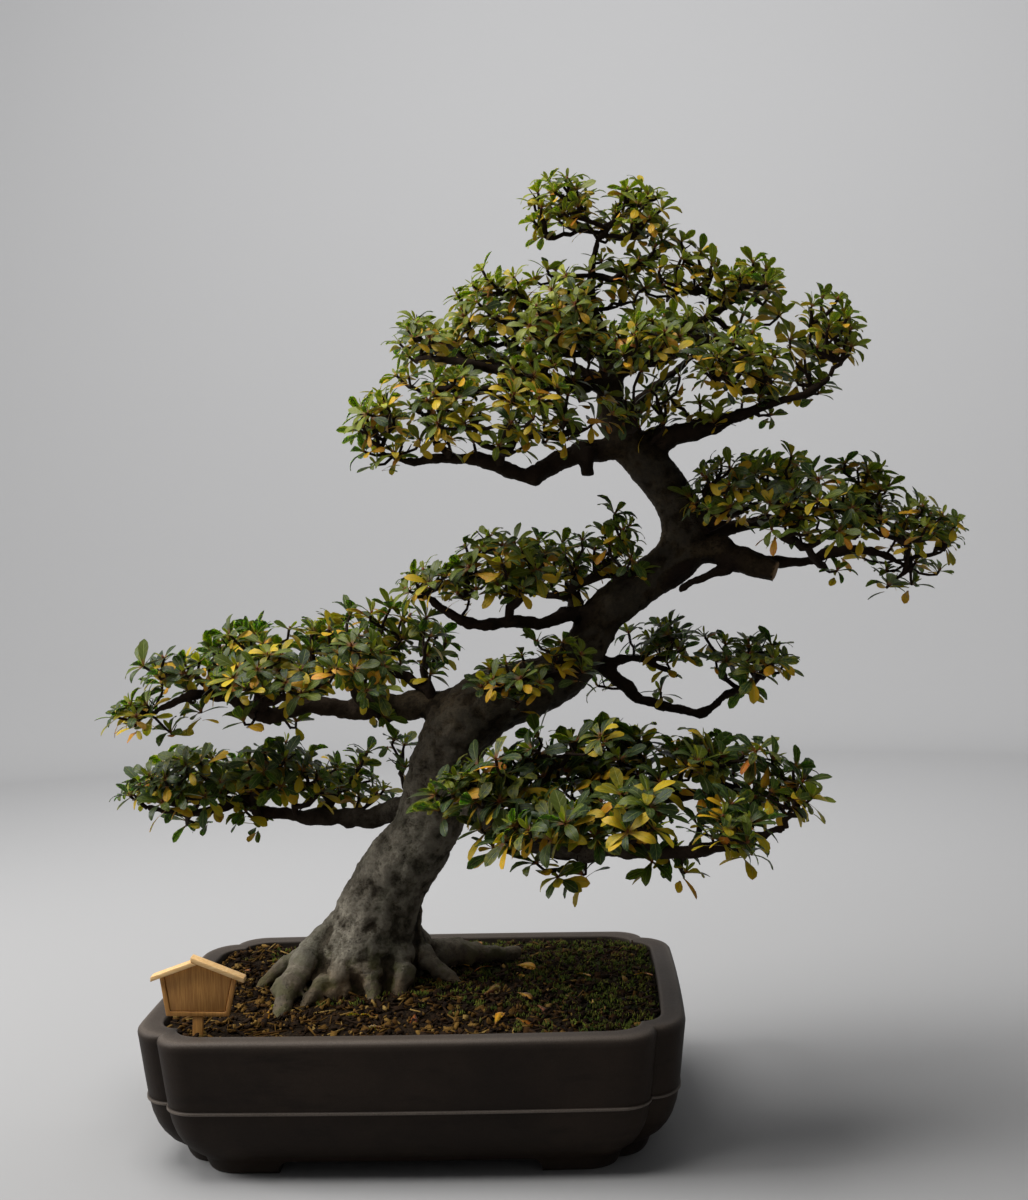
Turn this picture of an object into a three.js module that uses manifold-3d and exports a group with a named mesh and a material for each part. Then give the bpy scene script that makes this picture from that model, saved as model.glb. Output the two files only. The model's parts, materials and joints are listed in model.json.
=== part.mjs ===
// A kaho satsuki azalea bonsai in its rectangular pot. Millimetres, +Z up, seen from the -Y side.
// The tree's numbers count from the middle of the pot at the level of its feet.
import * as THREE from "three";
import { mergeVertices } from "three/addons/utils/BufferGeometryUtils.js";
import Module from "manifold-3d";

const wasm = await Module();
wasm.setup();

// Clearance between pieces that touch, so that no two share space.
const GAP = 0.3;

// Pot
const POT_WIDTH = 480;
const POT_DEPTH = 376;
// The pot's middle along Y, because the tree's numbers count from nearer its front.
const POT_MIDDLE = 8;
const POT_HEIGHT = 124;
const RIM_WIDTH = 21;
const FOOT_HEIGHT = 12;
const FLOOR_THICKNESS = 12;
const WALL_BOW = 3;
const FOOT_LENGTH = 92;
const FOOT_ROUND = 9;
const FOOT_ROUND_STEPS = 4;
const DRAIN_RADIUS = 13;
const DRAIN_SIDES = 12;
const DRAIN_SPACING = 190;

// Each corner of the pot is two quarter rounds that meet in an upright groove.
const OUTER_GROOVE = { fromSide: 27, fromFront: 28, faceRound: 28, sideRound: 42 };
const INNER_GROOVE = { fromSide: 19, fromFront: 27, faceRound: 30, sideRound: 30 };
const ARC_STEPS = 3;

// Height above the feet and how far in the wall stands there, from the underside to the rim.
const POT_PROFILE = [
  [0, 35],
  [FOOT_HEIGHT, 31],
  [22, 21],
  [38, 12],
  [59, 7],
  [60, 4],
  [64, 4],
  [65, 5],
  [POT_HEIGHT - 3, 0],
  [POT_HEIGHT, 3],
];
const FLOOR_LEVEL = FOOT_HEIGHT + FLOOR_THICKNESS;
const CAVITY_PROFILE = [
  [FLOOR_LEVEL, 35],
  [60, 21],
  [POT_HEIGHT + 1, RIM_WIDTH],
];

// Drain screens of woven plastic
const SCREEN_SIDE = 44;
const SCREEN_THICKNESS = 1.2;
const SCREEN_HOLES = 2;
const SCREEN_HOLE_SIDE = 15;

// Soil
const SOIL_EDGE_LEVEL = 118.5;
const SOIL_MOUND = 8;
const SOIL_STEPS = [0.4, 0.86];

// Middle of the tree's base on the soil
const TREE_BASE = new THREE.Vector2(-62, 18);

// The trunk's middle line with its radius, from below the soil to the top.
const TRUNK = [
  [-62, 18, 94, 58],
  [-62, 17, 118, 65],
  [-59, 15, 141, 57],
  [-51, 14, 164, 47],
  [-43, 14, 187, 40],
  [-25, 12, 226, 35],
  [6, 8, 267, 33],
  [22, 2, 315, 32],
  [30, 0, 340, 33],
  [44, -4, 366, 34],
  [68, -8, 386, 32],
  [100, -10, 398, 29],
  [130, -10, 408, 26],
  [153, -8, 426, 22],
  [166, -5, 446, 20],
  [180, 0, 468, 20],
  [200, 4, 485, 20],
  [224, 8, 500, 20],
  [248, 10, 517, 22],
  [258, 12, 536, 23],
  [255, 14, 558, 21],
  [243, 14, 582, 20],
  [227, 12, 603, 20],
  [210, 10, 622, 19],
  [198, 8, 645, 16],
  [191, 6, 668, 13],
  [193, 4, 695, 11],
  [183, 2, 728, 8],
  [174, 0, 760, 6],
  [177, 0, 788, 4.5],
  [183, 0, 815, 3],
];
const TRUNK_SIDES = 10;

// Roots that spread over the soil from the foot of the trunk and dive into it.
const ROOTS = [
  [[-96, -2, 158, 18], [-112, -34, 144, 14], [-117, -66, 132, 11], [-121, -88, 122, 8], [-122, -104, 108, 4]],
  [[-103, 12, 154, 14], [-134, 9, 138, 8], [-153, 6, 124, 5.5], [-166, 4, 108, 3]],
  [[-82, -30, 141, 9], [-92, -52, 131, 6], [-101, -72, 121, 4.5], [-106, -84, 108, 3]],
  [[-68, -22, 150, 14], [-78, -42, 133, 9], [-85, -56, 120, 6], [-90, -66, 107, 3.5]],
  [[-60, -26, 144, 9], [-67, -40, 130, 6], [-71, -50, 118, 4], [-73, -56, 108, 3]],
  [[-45, -18, 150, 15], [-43, -38, 132, 10], [-41, -53, 118, 7], [-40, -62, 105, 3.5]],
  [[-26, 0, 160, 18], [-20, -14, 144, 14], [-18, -29, 129, 10], [-18, -38, 114, 6]],
  [[-14, 14, 156, 14], [10, 8, 142, 9], [30, 4, 130, 7], [48, 0, 120, 5], [60, -4, 110, 3]],
  [[-14, 24, 170, 19], [20, 44, 154, 16], [50, 60, 142, 12], [74, 74, 135, 7], [90, 82, 131, 4.5]],
  [[-92, 46, 150, 16], [-120, 80, 132, 10], [-140, 100, 119, 6], [-150, 110, 107, 3.5]],
  [[-56, 56, 150, 17], [-50, 95, 131, 11], [-48, 120, 119, 7], [-46, 135, 106, 4]],
  [[-24, 50, 148, 14], [0, 85, 131, 9], [12, 105, 119, 6], [20, 118, 106, 3.5]],
];
const ROOT_SIDES = 5;

// The limbs, from inside the trunk outwards, and the stubs that pruning left.
const LIMBS = {
  left_upper: [
    [66, -6, 390, 18], [23, 3, 388, 16], [-15, 5, 386, 14], [-61, -5, 385, 11], [-97, -15, 390, 9],
    [-133, -20, 383, 8], [-183, -26, 404, 6], [-215, -30, 400, 4.5], [-240, -30, 388, 3],
  ],
  left_lower: [
    [15, 18, 294, 15], [-14, 40, 286, 12], [-45, 55, 273, 10], [-94, 65, 273, 8.5], [-139, 65, 276, 7],
    [-182, 60, 288, 5], [-224, 50, 281, 4], [-270, 45, 288, 3],
  ],
  middle_left: [
    [176, 0, 461, 12], [153, -10, 470, 9], [120, -22, 463, 7], [84, -32, 463, 6], [57, -38, 464, 5],
    [35, -40, 476, 4], [18, -42, 490, 3],
  ],
  middle_right: [
    [160, 0, 428, 11], [184, 5, 411, 7], [208, 8, 389, 5.5], [242, 10, 378, 5], [270, 10, 373, 4.5],
    [291, 10, 388, 4], [318, 10, 398, 3],
  ],
  middle_right_upper: [
    [166, 4, 426, 7], [184, 6, 422, 5], [206, 8, 426, 4], [227, 8, 419, 3.5], [248, 8, 406, 3],
  ],
  front_lower: [
    [22, -5, 318, 17], [62, -50, 292, 13], [108, -85, 270, 11], [148, -100, 265, 9.5], [195, -110, 267, 8],
    [245, -115, 265, 6.5], [290, -115, 273, 5], [330, -115, 284, 3.5],
  ],
  front_back: [
    [108, -82, 270, 9], [150, -70, 285, 7], [205, -60, 300, 6], [262, -55, 306, 5], [310, -60, 304, 3.5],
  ],
  right: [
    [252, 10, 528, 20], [276, 4, 527, 15], [310, -6, 514, 12], [340, -15, 503, 10],
  ],
  right_spur: [
    [302, -6, 514, 6], [292, -10, 506, 4.5], [276, -12, 502, 4], [260, -12, 494, 3.5], [249, -12, 489, 3],
  ],
  right_far: [
    [300, -4, 520, 9], [332, 2, 514, 6], [363, 4, 511, 5], [391, 4, 519, 5], [430, 3, 520, 4],
    [464, 0, 503, 3],
  ],
  right_back: [
    [258, 14, 526, 12], [284, 42, 541, 7], [333, 58, 550, 6], [385, 60, 552, 4],
  ],
  crown_lower_left: [
    [206, 10, 628, 14], [153, -5, 616, 10], [133, -14, 606, 9], [117, -20, 597, 9], [100, -25, 601, 8],
    [78, -30, 611, 6.5], [40, -30, 616, 5], [8, -32, 612, 4], [-10, -35, 618, 3],
  ],
  crown_middle_left: [
    [193, 4, 686, 10], [152, -18, 680, 8], [131, -28, 681, 7], [112, -34, 685, 6], [90, -40, 693, 5],
    [60, -44, 700, 4], [30, -44, 706, 3],
  ],
  crown_right: [
    [216, 11, 622, 13], [252, 5, 633, 9], [288, 0, 642, 7], [320, 0, 652, 6], [346, 0, 661, 5],
    [372, 0, 666, 4], [394, 0, 682, 3],
  ],
  crown_upper_right: [
    [194, 4, 690, 9], [227, 14, 704, 7], [243, 20, 720, 6], [268, 24, 736, 5], [302, 25, 752, 3.5],
  ],
  crown_back: [
    [212, 12, 622, 12], [205, 42, 650, 8], [190, 66, 682, 6], [160, 74, 706, 5], [120, 68, 712, 3.5],
  ],
  crown_back_right: [
    [206, 44, 652, 7], [232, 68, 680, 5.5], [262, 78, 704, 4], [280, 80, 718, 3],
  ],
  upper_stub: [
    [170, -8, 624, 8], [167, -10, 608, 7], [168, -11, 597, 6],
  ],
  crown_stub: [
    [114, -34, 688, 7], [108, -36, 676, 6.5], [104, -37, 668, 6],
  ],
};
const LIMB_SIDES = 5;

// Leafy sprays in the pad that each limb carries. Each row is the middle of the spray's whorls,
// how far they spread across and in depth, and how many whorls it has.
const PADS = {
  upper_left: {
    limbs: ["left_upper"],
    sprays: [
      [-256, -30, 390, 16, 14, 2],
      [-208, -46, 424, 26, 20, 2],
      [-166, 34, 438, 28, 26, 2],
      [-124, -84, 424, 28, 22, 2],
      [-94, 58, 454, 30, 26, 2],
      [-48, -68, 440, 28, 26, 2],
      [-14, 36, 460, 28, 28, 2],
    ],
  },
  lower_left: {
    limbs: ["left_lower"],
    sprays: [
      [-270, 44, 304, 20, 18, 2],
      [-224, 8, 322, 24, 22, 2],
      [-194, 92, 308, 26, 22, 2],
      [-136, 24, 324, 28, 24, 2],
      [-84, 108, 308, 28, 24, 2],
    ],
  },
  middle_left: {
    limbs: ["middle_left"],
    sprays: [
      [26, -50, 506, 22, 22, 2],
      [80, -66, 528, 26, 24, 2],
      [132, 22, 522, 26, 28, 2],
      [184, -36, 546, 20, 22, 1],
    ],
  },
  trunk_front: {
    limbs: ["trunk"],
    sprays: [
      [96, -72, 424, 26, 12, 2],
      [146, -62, 436, 20, 12, 1],
    ],
  },
  middle_right: {
    limbs: ["middle_right", "middle_right_upper"],
    sprays: [
      [236, 18, 440, 26, 26, 2],
      [316, 4, 428, 24, 28, 2],
    ],
  },
  right: {
    limbs: ["right", "right_far", "right_back"],
    sprays: [
      [288, -26, 588, 24, 22, 2],
      [346, 66, 600, 28, 26, 2],
      [366, -52, 570, 28, 24, 2],
      [424, 16, 584, 28, 26, 2],
      [478, -8, 544, 20, 26, 2],
    ],
  },
  front_lower: {
    limbs: ["front_lower", "front_back"],
    sprays: [
      [66, -104, 326, 26, 18, 2],
      [126, -60, 342, 28, 22, 2],
      [126, -152, 300, 30, 22, 2],
      [192, -56, 354, 26, 24, 2],
      [204, -158, 308, 30, 22, 2],
      [262, -50, 336, 26, 24, 2],
      [276, -158, 298, 26, 22, 2],
      [330, -106, 316, 18, 26, 2],
    ],
  },
  crown: {
    limbs: [
      "trunk", "crown_lower_left", "crown_middle_left", "crown_right", "crown_upper_right", "crown_back",
      "crown_back_right",
    ],
    sprays: [
      [150, -4, 856, 24, 20, 2],
      [226, 6, 852, 22, 22, 2],
      [84, -14, 774, 28, 26, 2],
      [150, -66, 750, 30, 22, 2],
      [250, -4, 792, 30, 24, 2],
      [328, 26, 774, 24, 26, 2],
      [392, 0, 742, 24, 26, 2],
      [20, -46, 728, 30, 24, 2],
      [-22, -34, 664, 18, 28, 2],
      [52, -84, 674, 26, 20, 2],
      [124, -88, 684, 24, 16, 2],
      [222, -74, 712, 30, 24, 2],
      [304, -46, 702, 28, 26, 2],
      [370, 26, 684, 20, 24, 1],
      [150, 86, 754, 30, 26, 2],
      [264, 98, 744, 28, 26, 2],
      [56, 62, 722, 30, 28, 2],
    ],
  },
};

// Leaves: obovate blades that rise from the end of the twig and curve down towards their tips.
const LEAF = {
  length: 30,
  halfWidth: 6,
  tipHalfWidth: 3.4,
  thickness: 0.9,
  widestAt: 0.6,
  droop: 0.5,
};
const WHORL_LEAVES = [5, 4];
const LOW_LEAF_RISE = 0.15;
const HIGH_LEAF_RISE = 0.85;
const LEAF_RISE_SPREAD = 0.2;
const LEAST_LEAF_LENGTH = 0.86;
const HUB_RADIUS = 2.4;
const HUB_SCATTER = 10;
const WHORL_LEAN = 0.016;
const WHORL_TURNS = 8;
const WHORL_LIFT = 2;
const TWIG_RADIUS = 1.5;

// Stems: each starts inside a limb, sags a little at its bend and rises to its fork.
const STEM_RADIUS = 3.2;
const STEM_SHARE_OF_LIMB = 0.8;
const STEM_TAPER = [1, 0.85, 0.65];
const STEM_BEND = 0.55;
const STEM_SAG = 0.16;
const STEM_SIDES = 4;
const STEM_STARTS = [0.25, 0.75];
const STEM_RISE = 6;
const FALL_COST = 1.6;
const FORK_DROP = 17;

const SEED = 2026;

// Name plate: a small roofed wooden board on a stake, left blank.
const PLATE = {
  place: [-180, -141],
  turn: 0.04,
  lean: 0.04,
  footWidth: 54,
  eaveWidth: 66,
  eaveHeight: 33,
  gableRise: 12.5,
  thickness: 4,
  stripWidth: 4,
  stripThickness: 6,
  roofLength: 43,
  roofDepth: 13,
  roofThickness: 4,
  stakeWidth: 9,
  stakeThickness: 4,
  boardLevel: 136.5,
  stakeBottom: 62,
};

const MATERIALS = {
  stoneware: new THREE.MeshStandardMaterial({ color: 0x3a322e, roughness: 0.7, metalness: 0 }),
  screen: new THREE.MeshStandardMaterial({ color: 0x1c1c1c, roughness: 0.6, metalness: 0 }),
  soil: new THREE.MeshStandardMaterial({ color: 0x3b2f20, roughness: 1, metalness: 0 }),
  bark: new THREE.MeshStandardMaterial({ color: 0x5d564c, roughness: 0.85, metalness: 0 }),
  foliage: new THREE.MeshStandardMaterial({ color: 0x3f5a24, roughness: 0.5, metalness: 0 }),
  plate_wood: new THREE.MeshStandardMaterial({ color: 0xb98d5a, roughness: 0.7, metalness: 0 }),
};

/** A repeatable source of numbers from 0 to 1. */
function makeRandom(seed) {
  let state = seed;
  return () => {
    state = (state + 0x6d2b79f5) | 0;
    let mixed = Math.imul(state ^ (state >>> 15), 1 | state);
    mixed = (mixed + Math.imul(mixed ^ (mixed >>> 7), 61 | mixed)) ^ mixed;
    return ((mixed ^ (mixed >>> 14)) >>> 0) / 4294967296;
  };
}

/** A manifold solid of a closed geometry. */
function solidOf(geometry) {
  geometry.deleteAttribute("normal");
  geometry.deleteAttribute("uv");
  const merged = mergeVertices(geometry, 1e-4);
  return new wasm.Manifold(
    new wasm.Mesh({
      numProp: 3,
      vertProperties: new Float32Array(merged.attributes.position.array),
      triVerts: new Uint32Array(merged.index.array),
    }),
  );
}

/** The largest body of a solid, without the scraps that a cut can leave. */
function largestBody(solid) {
  const bodies = solid.decompose();
  return bodies.reduce((best, body) => (body.volume() > best.volume() ? body : best));
}

/** A named mesh of a solid. */
function meshOf(name, solid, material) {
  const data = solid.getMesh();
  const geometry = new THREE.BufferGeometry();
  geometry.setAttribute("position", new THREE.BufferAttribute(new Float32Array(data.vertProperties), 3));
  geometry.setIndex(new THREE.BufferAttribute(new Uint32Array(data.triVerts), 1));
  geometry.computeVertexNormals();
  const mesh = new THREE.Mesh(geometry, material);
  mesh.name = name;
  return mesh;
}

/** Fills a ring of points with a fan of triangles. */
function fan(count) {
  return Array.from({ length: count - 2 }, (_, i) => [0, i + 1, i + 2]);
}

/** A closed geometry through rings of equally many points, with a cap over each end. */
function loft(rings, cap = fan(rings[0].length)) {
  const count = rings[0].length;
  const index = [];
  for (let r = 0; r + 1 < rings.length; r++) {
    for (let i = 0; i < count; i++) {
      const a = r * count + i;
      const b = r * count + ((i + 1) % count);
      index.push(a, b, b + count, a, b + count, a + count);
    }
  }
  const last = (rings.length - 1) * count;
  for (const [a, b, c] of cap) {
    index.push(a, c, b, last + a, last + b, last + c);
  }
  const geometry = new THREE.BufferGeometry().setFromPoints(rings.flat());
  geometry.setIndex(index);
  return geometry;
}

/** A tapered limb through rows of x, y, z and radius, made thicker all round by extra. */
function taperedLimb(rows, sides, extra = 0) {
  const centres = rows.map(([x, y, z]) => new THREE.Vector3(x, y, z));
  const curve = new THREE.CatmullRomCurve3(centres);
  let across = new THREE.Vector3(0, 1, 0);
  const rings = rows.map((row, i) => {
    const along = curve.getTangent(i / (rows.length - 1));
    across = across.clone().addScaledVector(along, -across.dot(along)).normalize();
    const third = new THREE.Vector3().crossVectors(along, across);
    const radius = row[3] + extra;
    const end = i === 0 ? -extra : i === rows.length - 1 ? extra : 0;
    return Array.from({ length: sides }, (_, k) => {
      const angle = (k / sides) * 2 * Math.PI;
      return centres[i]
        .clone()
        .addScaledVector(along, end)
        .addScaledVector(across, Math.cos(angle) * radius)
        .addScaledVector(third, Math.sin(angle) * radius);
    });
  });
  return solidOf(loft(rings));
}

/** The pot's outline with its wall set in by inset, as a list of points on the plane. */
function potOutline(inset, groove) {
  const halfWidth = POT_WIDTH / 2 - inset;
  const halfDepth = POT_DEPTH / 2 - inset;
  const signs = [[1, -1], [1, 1], [-1, 1], [-1, -1]];
  const middles = [
    [halfWidth + WALL_BOW / 2, 0],
    [0, halfDepth + WALL_BOW],
    [-halfWidth - WALL_BOW / 2, 0],
    [0, -halfDepth - WALL_BOW],
  ];
  const corners = signs.map(([sx, sy], quarter) => {
    const from = ((quarter - 1) * Math.PI) / 2;
    const to = from + Math.PI / 2;
    const grooveX = sx * (halfWidth - groove.fromSide);
    const grooveY = sy * (halfDepth - groove.fromFront);
    const face = new THREE.EllipseCurve(
      grooveX - sx * groove.faceRound, grooveY, groove.faceRound, groove.fromFront, from, to,
    );
    const side = new THREE.EllipseCurve(
      grooveX, grooveY - sy * groove.sideRound, groove.fromSide, groove.sideRound, from, to,
    );
    const [first, second] = quarter % 2 === 0 ? [face, side] : [side, face];
    return [
      ...first.getPoints(ARC_STEPS),
      ...second.getPoints(ARC_STEPS).slice(1),
      new THREE.Vector2(...middles[quarter]),
    ];
  });
  return corners.flat().map((point) => new THREE.Vector2(point.x, point.y + POT_MIDDLE));
}

/** A solid of the pot's plan through levels of height and inset. */
function potLoft(profile, groove) {
  const rings = profile.map(([z, inset]) =>
    potOutline(inset, groove).map((p) => new THREE.Vector3(p.x, p.y, z)),
  );
  return solidOf(loft(rings, THREE.ShapeUtils.triangulateShape(rings[0], [])));
}

/** The space between two feet, through the whole pot along Y. */
function footArch(width) {
  const shape = new THREE.Shape();
  shape.moveTo(-width / 2, -1);
  shape.lineTo(width / 2, -1);
  shape.lineTo(width / 2, FOOT_HEIGHT - FOOT_ROUND);
  shape.absarc(width / 2 - FOOT_ROUND, FOOT_HEIGHT - FOOT_ROUND, FOOT_ROUND, 0, Math.PI / 2);
  shape.absarc(FOOT_ROUND - width / 2, FOOT_HEIGHT - FOOT_ROUND, FOOT_ROUND, Math.PI / 2, Math.PI);
  const length = POT_WIDTH * 2;
  const geometry = new THREE.ExtrudeGeometry(shape, { depth: length, bevelEnabled: false, curveSegments: FOOT_ROUND_STEPS });
  geometry.translate(0, 0, -length / 2);
  geometry.rotateX(Math.PI / 2);
  return geometry;
}

/** The pot, open at the top, with four corner feet and two drain holes. */
function makePot() {
  const footSpan = POT_PROFILE[0][1] + FOOT_LENGTH;
  let pot = potLoft(POT_PROFILE, OUTER_GROOVE).subtract(potLoft(CAVITY_PROFILE, INNER_GROOVE));
  pot = pot.subtract(solidOf(footArch(POT_WIDTH - 2 * footSpan)));
  const sideArch = footArch(POT_DEPTH - 2 * footSpan).rotateZ(Math.PI / 2).translate(0, POT_MIDDLE, 0);
  pot = pot.subtract(solidOf(sideArch));
  for (const x of [-DRAIN_SPACING / 2, DRAIN_SPACING / 2]) {
    const drain = new THREE.CylinderGeometry(DRAIN_RADIUS, DRAIN_RADIUS, 2 * FLOOR_LEVEL, DRAIN_SIDES);
    drain.rotateX(Math.PI / 2);
    drain.translate(x, POT_MIDDLE, FLOOR_LEVEL);
    pot = pot.subtract(solidOf(drain));
  }
  return pot;
}

/** A drain screen: a thin square sheet with rows of square holes, on the floor of the pot. */
function makeScreen(x) {
  const level = FLOOR_LEVEL + GAP + SCREEN_THICKNESS / 2;
  const block = (cx, cy, side, height) => {
    const box = new THREE.BoxGeometry(side, side, height);
    box.translate(cx, cy + POT_MIDDLE, level);
    return solidOf(box);
  };
  const pitch = SCREEN_SIDE / SCREEN_HOLES;
  let sheet = block(x, 0, SCREEN_SIDE, SCREEN_THICKNESS);
  for (let i = 0; i < SCREEN_HOLES; i++) {
    for (let j = 0; j < SCREEN_HOLES; j++) {
      const holeX = x + (i + 0.5) * pitch - SCREEN_SIDE / 2;
      const holeY = (j + 0.5) * pitch - SCREEN_SIDE / 2;
      sheet = sheet.subtract(block(holeX, holeY, SCREEN_HOLE_SIDE, 2 * SCREEN_THICKNESS));
    }
  }
  return sheet;
}

/** The soil: it fills the pot, rises towards the trunk, and is hollowed where the tree stands in it. */
function makeSoil(tree, stake) {
  const ring = (inset, z, share) =>
    potOutline(inset + GAP, INNER_GROOVE).map((p) => {
      const place = p.lerp(TREE_BASE, share);
      return new THREE.Vector3(place.x, place.y, z);
    });
  const [floor, waist] = CAVITY_PROFILE;
  const rings = [
    ring(floor[1], floor[0] + GAP, 0),
    ring(waist[1], waist[0], 0),
    ring(RIM_WIDTH + 1, SOIL_EDGE_LEVEL, 0),
    ...SOIL_STEPS.map((share) => ring(RIM_WIDTH, SOIL_EDGE_LEVEL + SOIL_MOUND * share, share)),
  ];
  let soil = solidOf(loft(rings, THREE.ShapeUtils.triangulateShape(rings[0], [])));
  for (const x of [-DRAIN_SPACING / 2, DRAIN_SPACING / 2]) {
    const side = SCREEN_SIDE + 2 * GAP;
    const pocket = new THREE.BoxGeometry(side, side, 2 * (SCREEN_THICKNESS + 2 * GAP));
    pocket.translate(x, POT_MIDDLE, FLOOR_LEVEL);
    soil = soil.subtract(solidOf(pocket));
  }
  return largestBody(soil.subtract(tree).subtract(stake));
}

/** The trunk with its roots, limbs and stubs, grown as one piece, thicker all round by extra. */
function makeTree(extra) {
  return [
    taperedLimb(TRUNK, TRUNK_SIDES, extra),
    ...ROOTS.map((rows) => taperedLimb(rows, ROOT_SIDES, extra)),
    ...Object.values(LIMBS).map((rows) => taperedLimb(rows, LIMB_SIDES, extra)),
  ].reduce((tree, limb) => tree.add(limb));
}

/** Two directions across an axis, the first as near as can be to a given one. */
function crossAxes(axis, near) {
  const first = near.clone().addScaledVector(axis, -near.dot(axis)).normalize();
  return [first, new THREE.Vector3().crossVectors(axis, first)];
}

/** The four corners of a leaf's section at its widest line and at its tip, from the hub outwards. */
function leafRings(hub, axis, outward, sideways, rise, length) {
  const lengths = [LEAF.widestAt * length + HUB_RADIUS, (1 - LEAF.widestAt) * length];
  const halfWidths = [LEAF.halfWidth, LEAF.tipHalfWidth];
  const centre = hub.clone();
  return lengths.map((step, i) => {
    const angle = rise - i * LEAF.droop;
    const ahead = outward.clone().multiplyScalar(Math.cos(angle)).addScaledVector(axis, Math.sin(angle));
    const up = axis.clone().multiplyScalar(Math.cos(angle)).addScaledVector(outward, -Math.sin(angle));
    centre.addScaledVector(ahead, step);
    return [[-1, -1], [1, -1], [1, 1], [-1, 1]].map(([across, over]) =>
      centre
        .clone()
        .addScaledVector(sideways, across * halfWidths[i])
        .addScaledVector(up, (over * LEAF.thickness) / 2),
    );
  });
}

/** A twig along a path to its hub, where its end is drawn out all round into leaves, as one closed surface. */
function makeWhorl(path, hub, axis, leaves, turn, random) {
  const points = [];
  const index = [];
  const add = (point) => points.push(point) - 1;
  let near = new THREE.Vector3(1, 0, 0);
  const ring = (centre, direction, radius) => {
    const [first, second] = crossAxes(direction, near);
    near = first;
    return Array.from({ length: leaves }, (_, i) => {
      const angle = turn + (i / leaves) * 2 * Math.PI;
      return add(
        centre
          .clone()
          .addScaledVector(first, Math.cos(angle) * radius)
          .addScaledVector(second, Math.sin(angle) * radius),
      );
    });
  };
  const half = LEAF.thickness / 2;
  const over = ring(hub.clone().addScaledVector(axis, half), axis, HUB_RADIUS);
  const under = ring(hub.clone().addScaledVector(axis, -half), axis, HUB_RADIUS);
  let [upper, ahead] = [under, hub];
  for (const { place, radius } of path.toReversed()) {
    const lower = ring(place, ahead.clone().sub(place).normalize(), radius);
    for (let i = 0; i < leaves; i++) {
      const next = (i + 1) % leaves;
      index.push(lower[i], lower[next], upper[next], lower[i], upper[next], upper[i]);
    }
    [upper, ahead] = [lower, place];
  }
  for (const [a, b, c] of fan(leaves)) {
    index.push(upper[a], upper[c], upper[b], over[a], over[b], over[c]);
  }
  const [first, second] = crossAxes(axis, new THREE.Vector3(1, 0, 0));
  for (let i = 0; i < leaves; i++) {
    const next = (i + 1) % leaves;
    const angle = turn + ((i + 0.5) / leaves) * 2 * Math.PI;
    const outward = first.clone().multiplyScalar(Math.cos(angle)).addScaledVector(second, Math.sin(angle));
    const sideways = new THREE.Vector3().crossVectors(axis, outward);
    const rise = (i % 2 ? HIGH_LEAF_RISE : LOW_LEAF_RISE) + LEAF_RISE_SPREAD * random();
    const length = LEAF.length * (LEAST_LEAF_LENGTH + (1 - LEAST_LEAF_LENGTH) * random());
    let inner = [under[i], under[next], over[next], over[i]];
    for (const corners of leafRings(hub, axis, outward, sideways, rise, length)) {
      const outer = corners.map(add);
      for (let k = 0; k < 4; k++) {
        const [a, b, c, d] = [inner[k], inner[(k + 1) % 4], outer[(k + 1) % 4], outer[k]];
        // The upper face is split along the same line as the lower one.
        if (k === 2) index.push(a, b, d, b, c, d);
        else index.push(a, b, c, a, c, d);
      }
      inner = outer;
    }
    index.push(inner[0], inner[1], inner[2], inner[0], inner[2], inner[3]);
  }
  const geometry = new THREE.BufferGeometry().setFromPoints(points);
  geometry.setIndex(index);
  return solidOf(geometry);
}

/** True where a solid crosses any of the solids placed for other sprays. */
function crosses(solid, placed, name) {
  const box = solid.boundingBox();
  return placed.some(
    (other) =>
      other.name !== name &&
      box.min.every((low, i) => low <= other.box.max[i] && box.max[i] >= other.box.min[i]) &&
      solid.intersect(other.solid).volume() > 0,
  );
}

/** Points along the limbs that a spray may grow from, the nearest to its fork first. */
function rootsNear(fork, limbNames) {
  const limbs = limbNames.map((name) => (name === "trunk" ? TRUNK : LIMBS[name]));
  return limbs
    .flatMap((rows) => rows.slice(1).flatMap((row, i) => STEM_STARTS.map((t) => [rows[i], row, t])))
    .map(([a, b, t]) => new THREE.Vector4(...a).lerp(new THREE.Vector4(...b), t))
    .map((p) => {
      const place = new THREE.Vector3(p.x, p.y, p.z);
      const above = Math.max(0, place.z + STEM_RISE - fork.z);
      return { place, radius: p.w, cost: place.distanceTo(fork) - p.w + FALL_COST * above };
    })
    .sort((a, b) => a.cost - b.cost);
}

/** The path of a spray's stem, from inside its limb to its fork, clear of the other sprays' stems. */
function findStem(name, fork, limbNames, placed) {
  for (const root of rootsNear(fork, limbNames)) {
    const bend = root.place.clone().lerp(fork, STEM_BEND);
    bend.z -= STEM_SAG * root.place.distanceTo(fork);
    const radius = Math.min(STEM_RADIUS, STEM_SHARE_OF_LIMB * root.radius);
    const path = [root.place, bend, fork].map((place, i) => ({ place, radius: STEM_TAPER[i] * radius }));
    const solid = taperedLimb(path.map((step) => [...step.place, step.radius]), STEM_SIDES);
    if (!crosses(solid, placed, name)) return { path, solid };
  }
  throw new Error("no stem for " + name);
}

/** A whorl turned, and then lifted, until it is clear of the other sprays; null where none is. */
function placeWhorl(name, path, hub, axis, leaves, placed, random) {
  for (let i = 0; i < WHORL_TURNS; i++) {
    const turn = random() * 2 * Math.PI;
    const lifted = hub.clone().addScaledVector(axis, WHORL_LIFT * i);
    const whorl = makeWhorl(path, lifted, axis, leaves, turn, random);
    if (!crosses(whorl, placed, name)) return whorl;
  }
  return null;
}

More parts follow.
